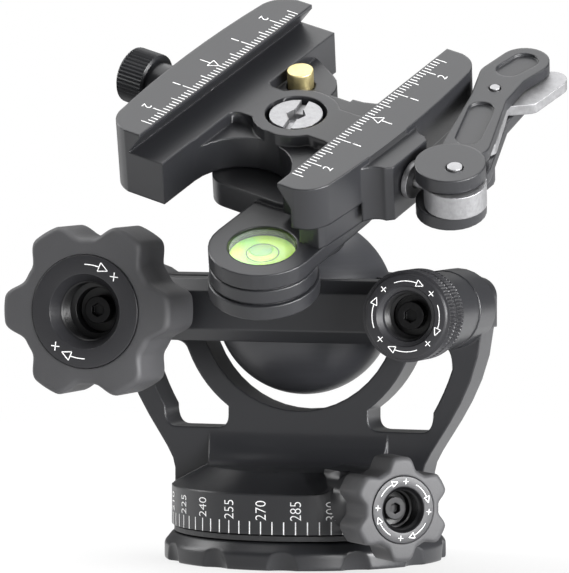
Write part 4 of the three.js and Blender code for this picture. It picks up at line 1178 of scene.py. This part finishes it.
class HEAD_OT_adjuster(bpy.types.Operator):
    """Knurled knob behind the fixed jaw"""

    bl_idname = "head.adjuster"
    bl_label = "Adjuster"

    def execute(self, context):
        low, high = ADJUSTER_BAND
        rows = [*ADJUSTER_FOOT]
        rows.extend((ADJUSTER_RADIUS, z) for z in
                    np.linspace(low + BAND_MARGIN, high - BAND_MARGIN, ADJUSTER_ROWS))
        rows.extend(ADJUSTER_HEAD)
        knob = revolved(np.array(rows, float), ADJUSTER_TEETH * RIDGE_COLUMNS,
                        ridged(ADJUSTER_TEETH, ADJUSTER_RADIUS, [ADJUSTER_BAND]))
        surface_piece("adjuster_body", knob, behind_jaw(ADJUSTER_ALONG, ADJUSTER_DROP),
                      "knurled", "adjuster", ["adjuster_knob"], crisp=24)
        smooth_copy("adjuster_screw", "adjuster_shaft", "steel", "adjuster")
        return {"FINISHED"}


class HEAD_OT_level(bpy.types.Operator):
    """Bubble level on its arm"""

    bl_idname = "head.level"
    bl_label = "Bubble level"

    def execute(self, context):
        smooth_copy("level_housing", "level_arm", "black", "clamp")
        smooth_copy("level_vial", "level_fluid_body", "fluid", "clamp")
        smooth_copy("level_lens", "level_cap", "clear", "clamp")
        smooth_copy("level_bubble", "level_bubble_body", "bubble", "clamp")
        marks = Marks()
        points, quads = arc_band(LEVEL_RING, 0, 360, LEVEL_RING_WIDTH, steps=49)
        marks.add(points + np.array(LEVEL_PLACE), quads)
        marks.piece("level_ring", flat_lay(on_clamp, LEVEL_FACE), "ring", "clamp", "level_lens")
        return {"FINISHED"}


class HEAD_OT_small_parts(bpy.types.Operator):
    """Finishes of the solids that stay as they are"""

    bl_idname = "head.small_parts"
    bl_label = "Small parts"

    def execute(self, context):
        looks = {
            "thread_insert": "steel", "pan_bearing_ring": "nylon", "pan_lock_shoe": "brass",
            "pan_retaining_screw_1": "shade_darkened_steel", "pan_retaining_screw_2": "shade_darkened_steel",
            "main_knob_stud": "steel", "tension_knob_stud": "steel", "pan_lock_screw": "steel",
            "detent_spring": "steel", "jaw_guide_pin_1": "steel", "jaw_guide_pin_2": "steel",
            "jaw_spring_1": "steel", "jaw_spring_2": "steel",
        }
        for node, look in looks.items():
            paint(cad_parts[node].data, look)
        return {"FINISHED"}


def aimed(direction):
    """Rotation of a lamp or camera that points along a direction."""
    return Vector(direction).to_track_quat("-Z", "Y").to_euler()


def area_lamp(name, size, power, place, target):
    """A rectangular lamp that points at its target."""
    lamp = bpy.data.lights.new(name, "AREA")
    lamp.shape = "RECTANGLE"
    lamp.size, lamp.size_y = size
    lamp.energy = power
    made = bpy.data.objects.new(name, lamp)
    bpy.context.scene.collection.objects.link(made)
    made.location = place
    made.rotation_euler = aimed(Vector(target) - Vector(place))


class HEAD_OT_stage(bpy.types.Operator):
    """Camera, lamps, world and floor"""

    bl_idname = "head.stage"
    bl_label = "Stage"

    def execute(self, context):
        scene = bpy.context.scene
        camera = bpy.data.cameras.new("photo_camera")
        camera.sensor_width = 36
        camera.lens = CAMERA_LENS
        camera.clip_start = 0.05
        camera.clip_end = 20
        holder = bpy.data.objects.new("photo_camera", camera)
        scene.collection.objects.link(holder)
        holder.location = CAMERA_PLACE
        holder.rotation_euler = aimed(CAMERA_WAY)
        scene.camera = holder
        for lamp in LAMPS:
            area_lamp(*lamp)
        self.make_world(scene)
        self.make_floor(scene)
        scene.view_settings.view_transform = "Standard"
        return {"FINISHED"}

    def make_world(self, scene):
        """The camera sees a white world of strength 1, and it lights the object less."""
        scene.world = bpy.data.worlds.new("studio")
        made = NodeMaker(scene.world)
        seen = made.ray_kind("Camera") + made.ray_kind("Glossy") * SKY_GLOSS
        ground = made.tree.nodes["Background"]
        made.feed(ground.inputs["Color"], (1, 1, 1, 1))
        made.feed(ground.inputs["Strength"], SKY_LIGHT + seen * (1 - SKY_LIGHT))

    def make_floor(self, scene):
        """A pale floor that glows. The glow's share grows from 0.72 near the object to 1
        away from it for the camera, and in reflections it falls from 0.95 to 0.35."""
        floor = bpy.data.meshes.new("floor")
        floor.from_pydata([(-FLOOR_REACH, -FLOOR_REACH, 0), (FLOOR_REACH, -FLOOR_REACH, 0),
                           (FLOOR_REACH, FLOOR_REACH, 0), (-FLOOR_REACH, FLOOR_REACH, 0)],
                          [], [(0, 1, 2, 3)])
        made = Finish("floor_finish")
        tone = made.noise(per_metre=3, detail=2)
        made.set(Base_Color=made.mix(tone, (0.8, 0.8, 0.8), (0.84, 0.84, 0.84)), Roughness=0.9,
                 Specular_IOR_Level=0.1)
        glow = made.node("Emission", None, (1, 1, 1, 1), 1)
        away = made.node("VectorMath", {"operation": "LENGTH"}, made.place)
        faded = made.step(Term(made, away.outputs["Value"]), FLOOR_NEAR, FLOOR_FAR)
        share = (made.ray_kind("Camera") * (0.72 + faded * 0.28)
                 + made.ray_kind("Glossy") * (0.95 - faded * 0.6))
        blend = made.node("MixShader", None, share, made.shader.outputs[0], glow.outputs[0])
        output = made.tree.nodes["Material Output"]
        made.feed(output.inputs["Surface"], blend.outputs[0])
        floor.materials.append(made.material)
        piece = bpy.data.objects.new("floor", floor)
        scene.collection.objects.link(piece)


class HEAD_PT_panel(bpy.types.Panel):
    """Buttons and settings of the ball head"""

    bl_idname = "HEAD_PT_panel"
    bl_label = "Ball head"
    bl_space_type = "VIEW_3D"
    bl_region_type = "UI"
    bl_category = "Ball head"

    def draw(self, context):
        layout = self.layout
        for key in HeadSettings.__annotations__:
            layout.prop(context.scene.ball_head, key)
        for operator in OPERATORS:
            layout.operator(operator.bl_idname)


OPERATORS = (
    HEAD_OT_stage,
    HEAD_OT_mounting_disk,
    HEAD_OT_body,
    HEAD_OT_degree_scale,
    HEAD_OT_main_knob,
    HEAD_OT_tension_knob,
    HEAD_OT_pan_knob,
    HEAD_OT_ball,
    HEAD_OT_clamp,
    HEAD_OT_jaw_scales,
    HEAD_OT_lever,
    HEAD_OT_adjuster,
    HEAD_OT_level,
    HEAD_OT_small_parts,
)


def register():
    for item in (HeadSettings, *OPERATORS, HEAD_PT_panel):
        bpy.utils.register_class(item)
    bpy.types.Scene.ball_head = bpy.props.PointerProperty(type=HeadSettings)


def unregister():
    del bpy.types.Scene.ball_head
    for item in (HEAD_PT_panel, *reversed(OPERATORS), HeadSettings):
        bpy.utils.unregister_class(item)


def main():
    register()
    for operator in OPERATORS:
        group, name = operator.bl_idname.split(".")
        getattr(getattr(bpy.ops, group), name)()
    bpy.context.view_layer.update()


if __name__ == "__main__":
    main()
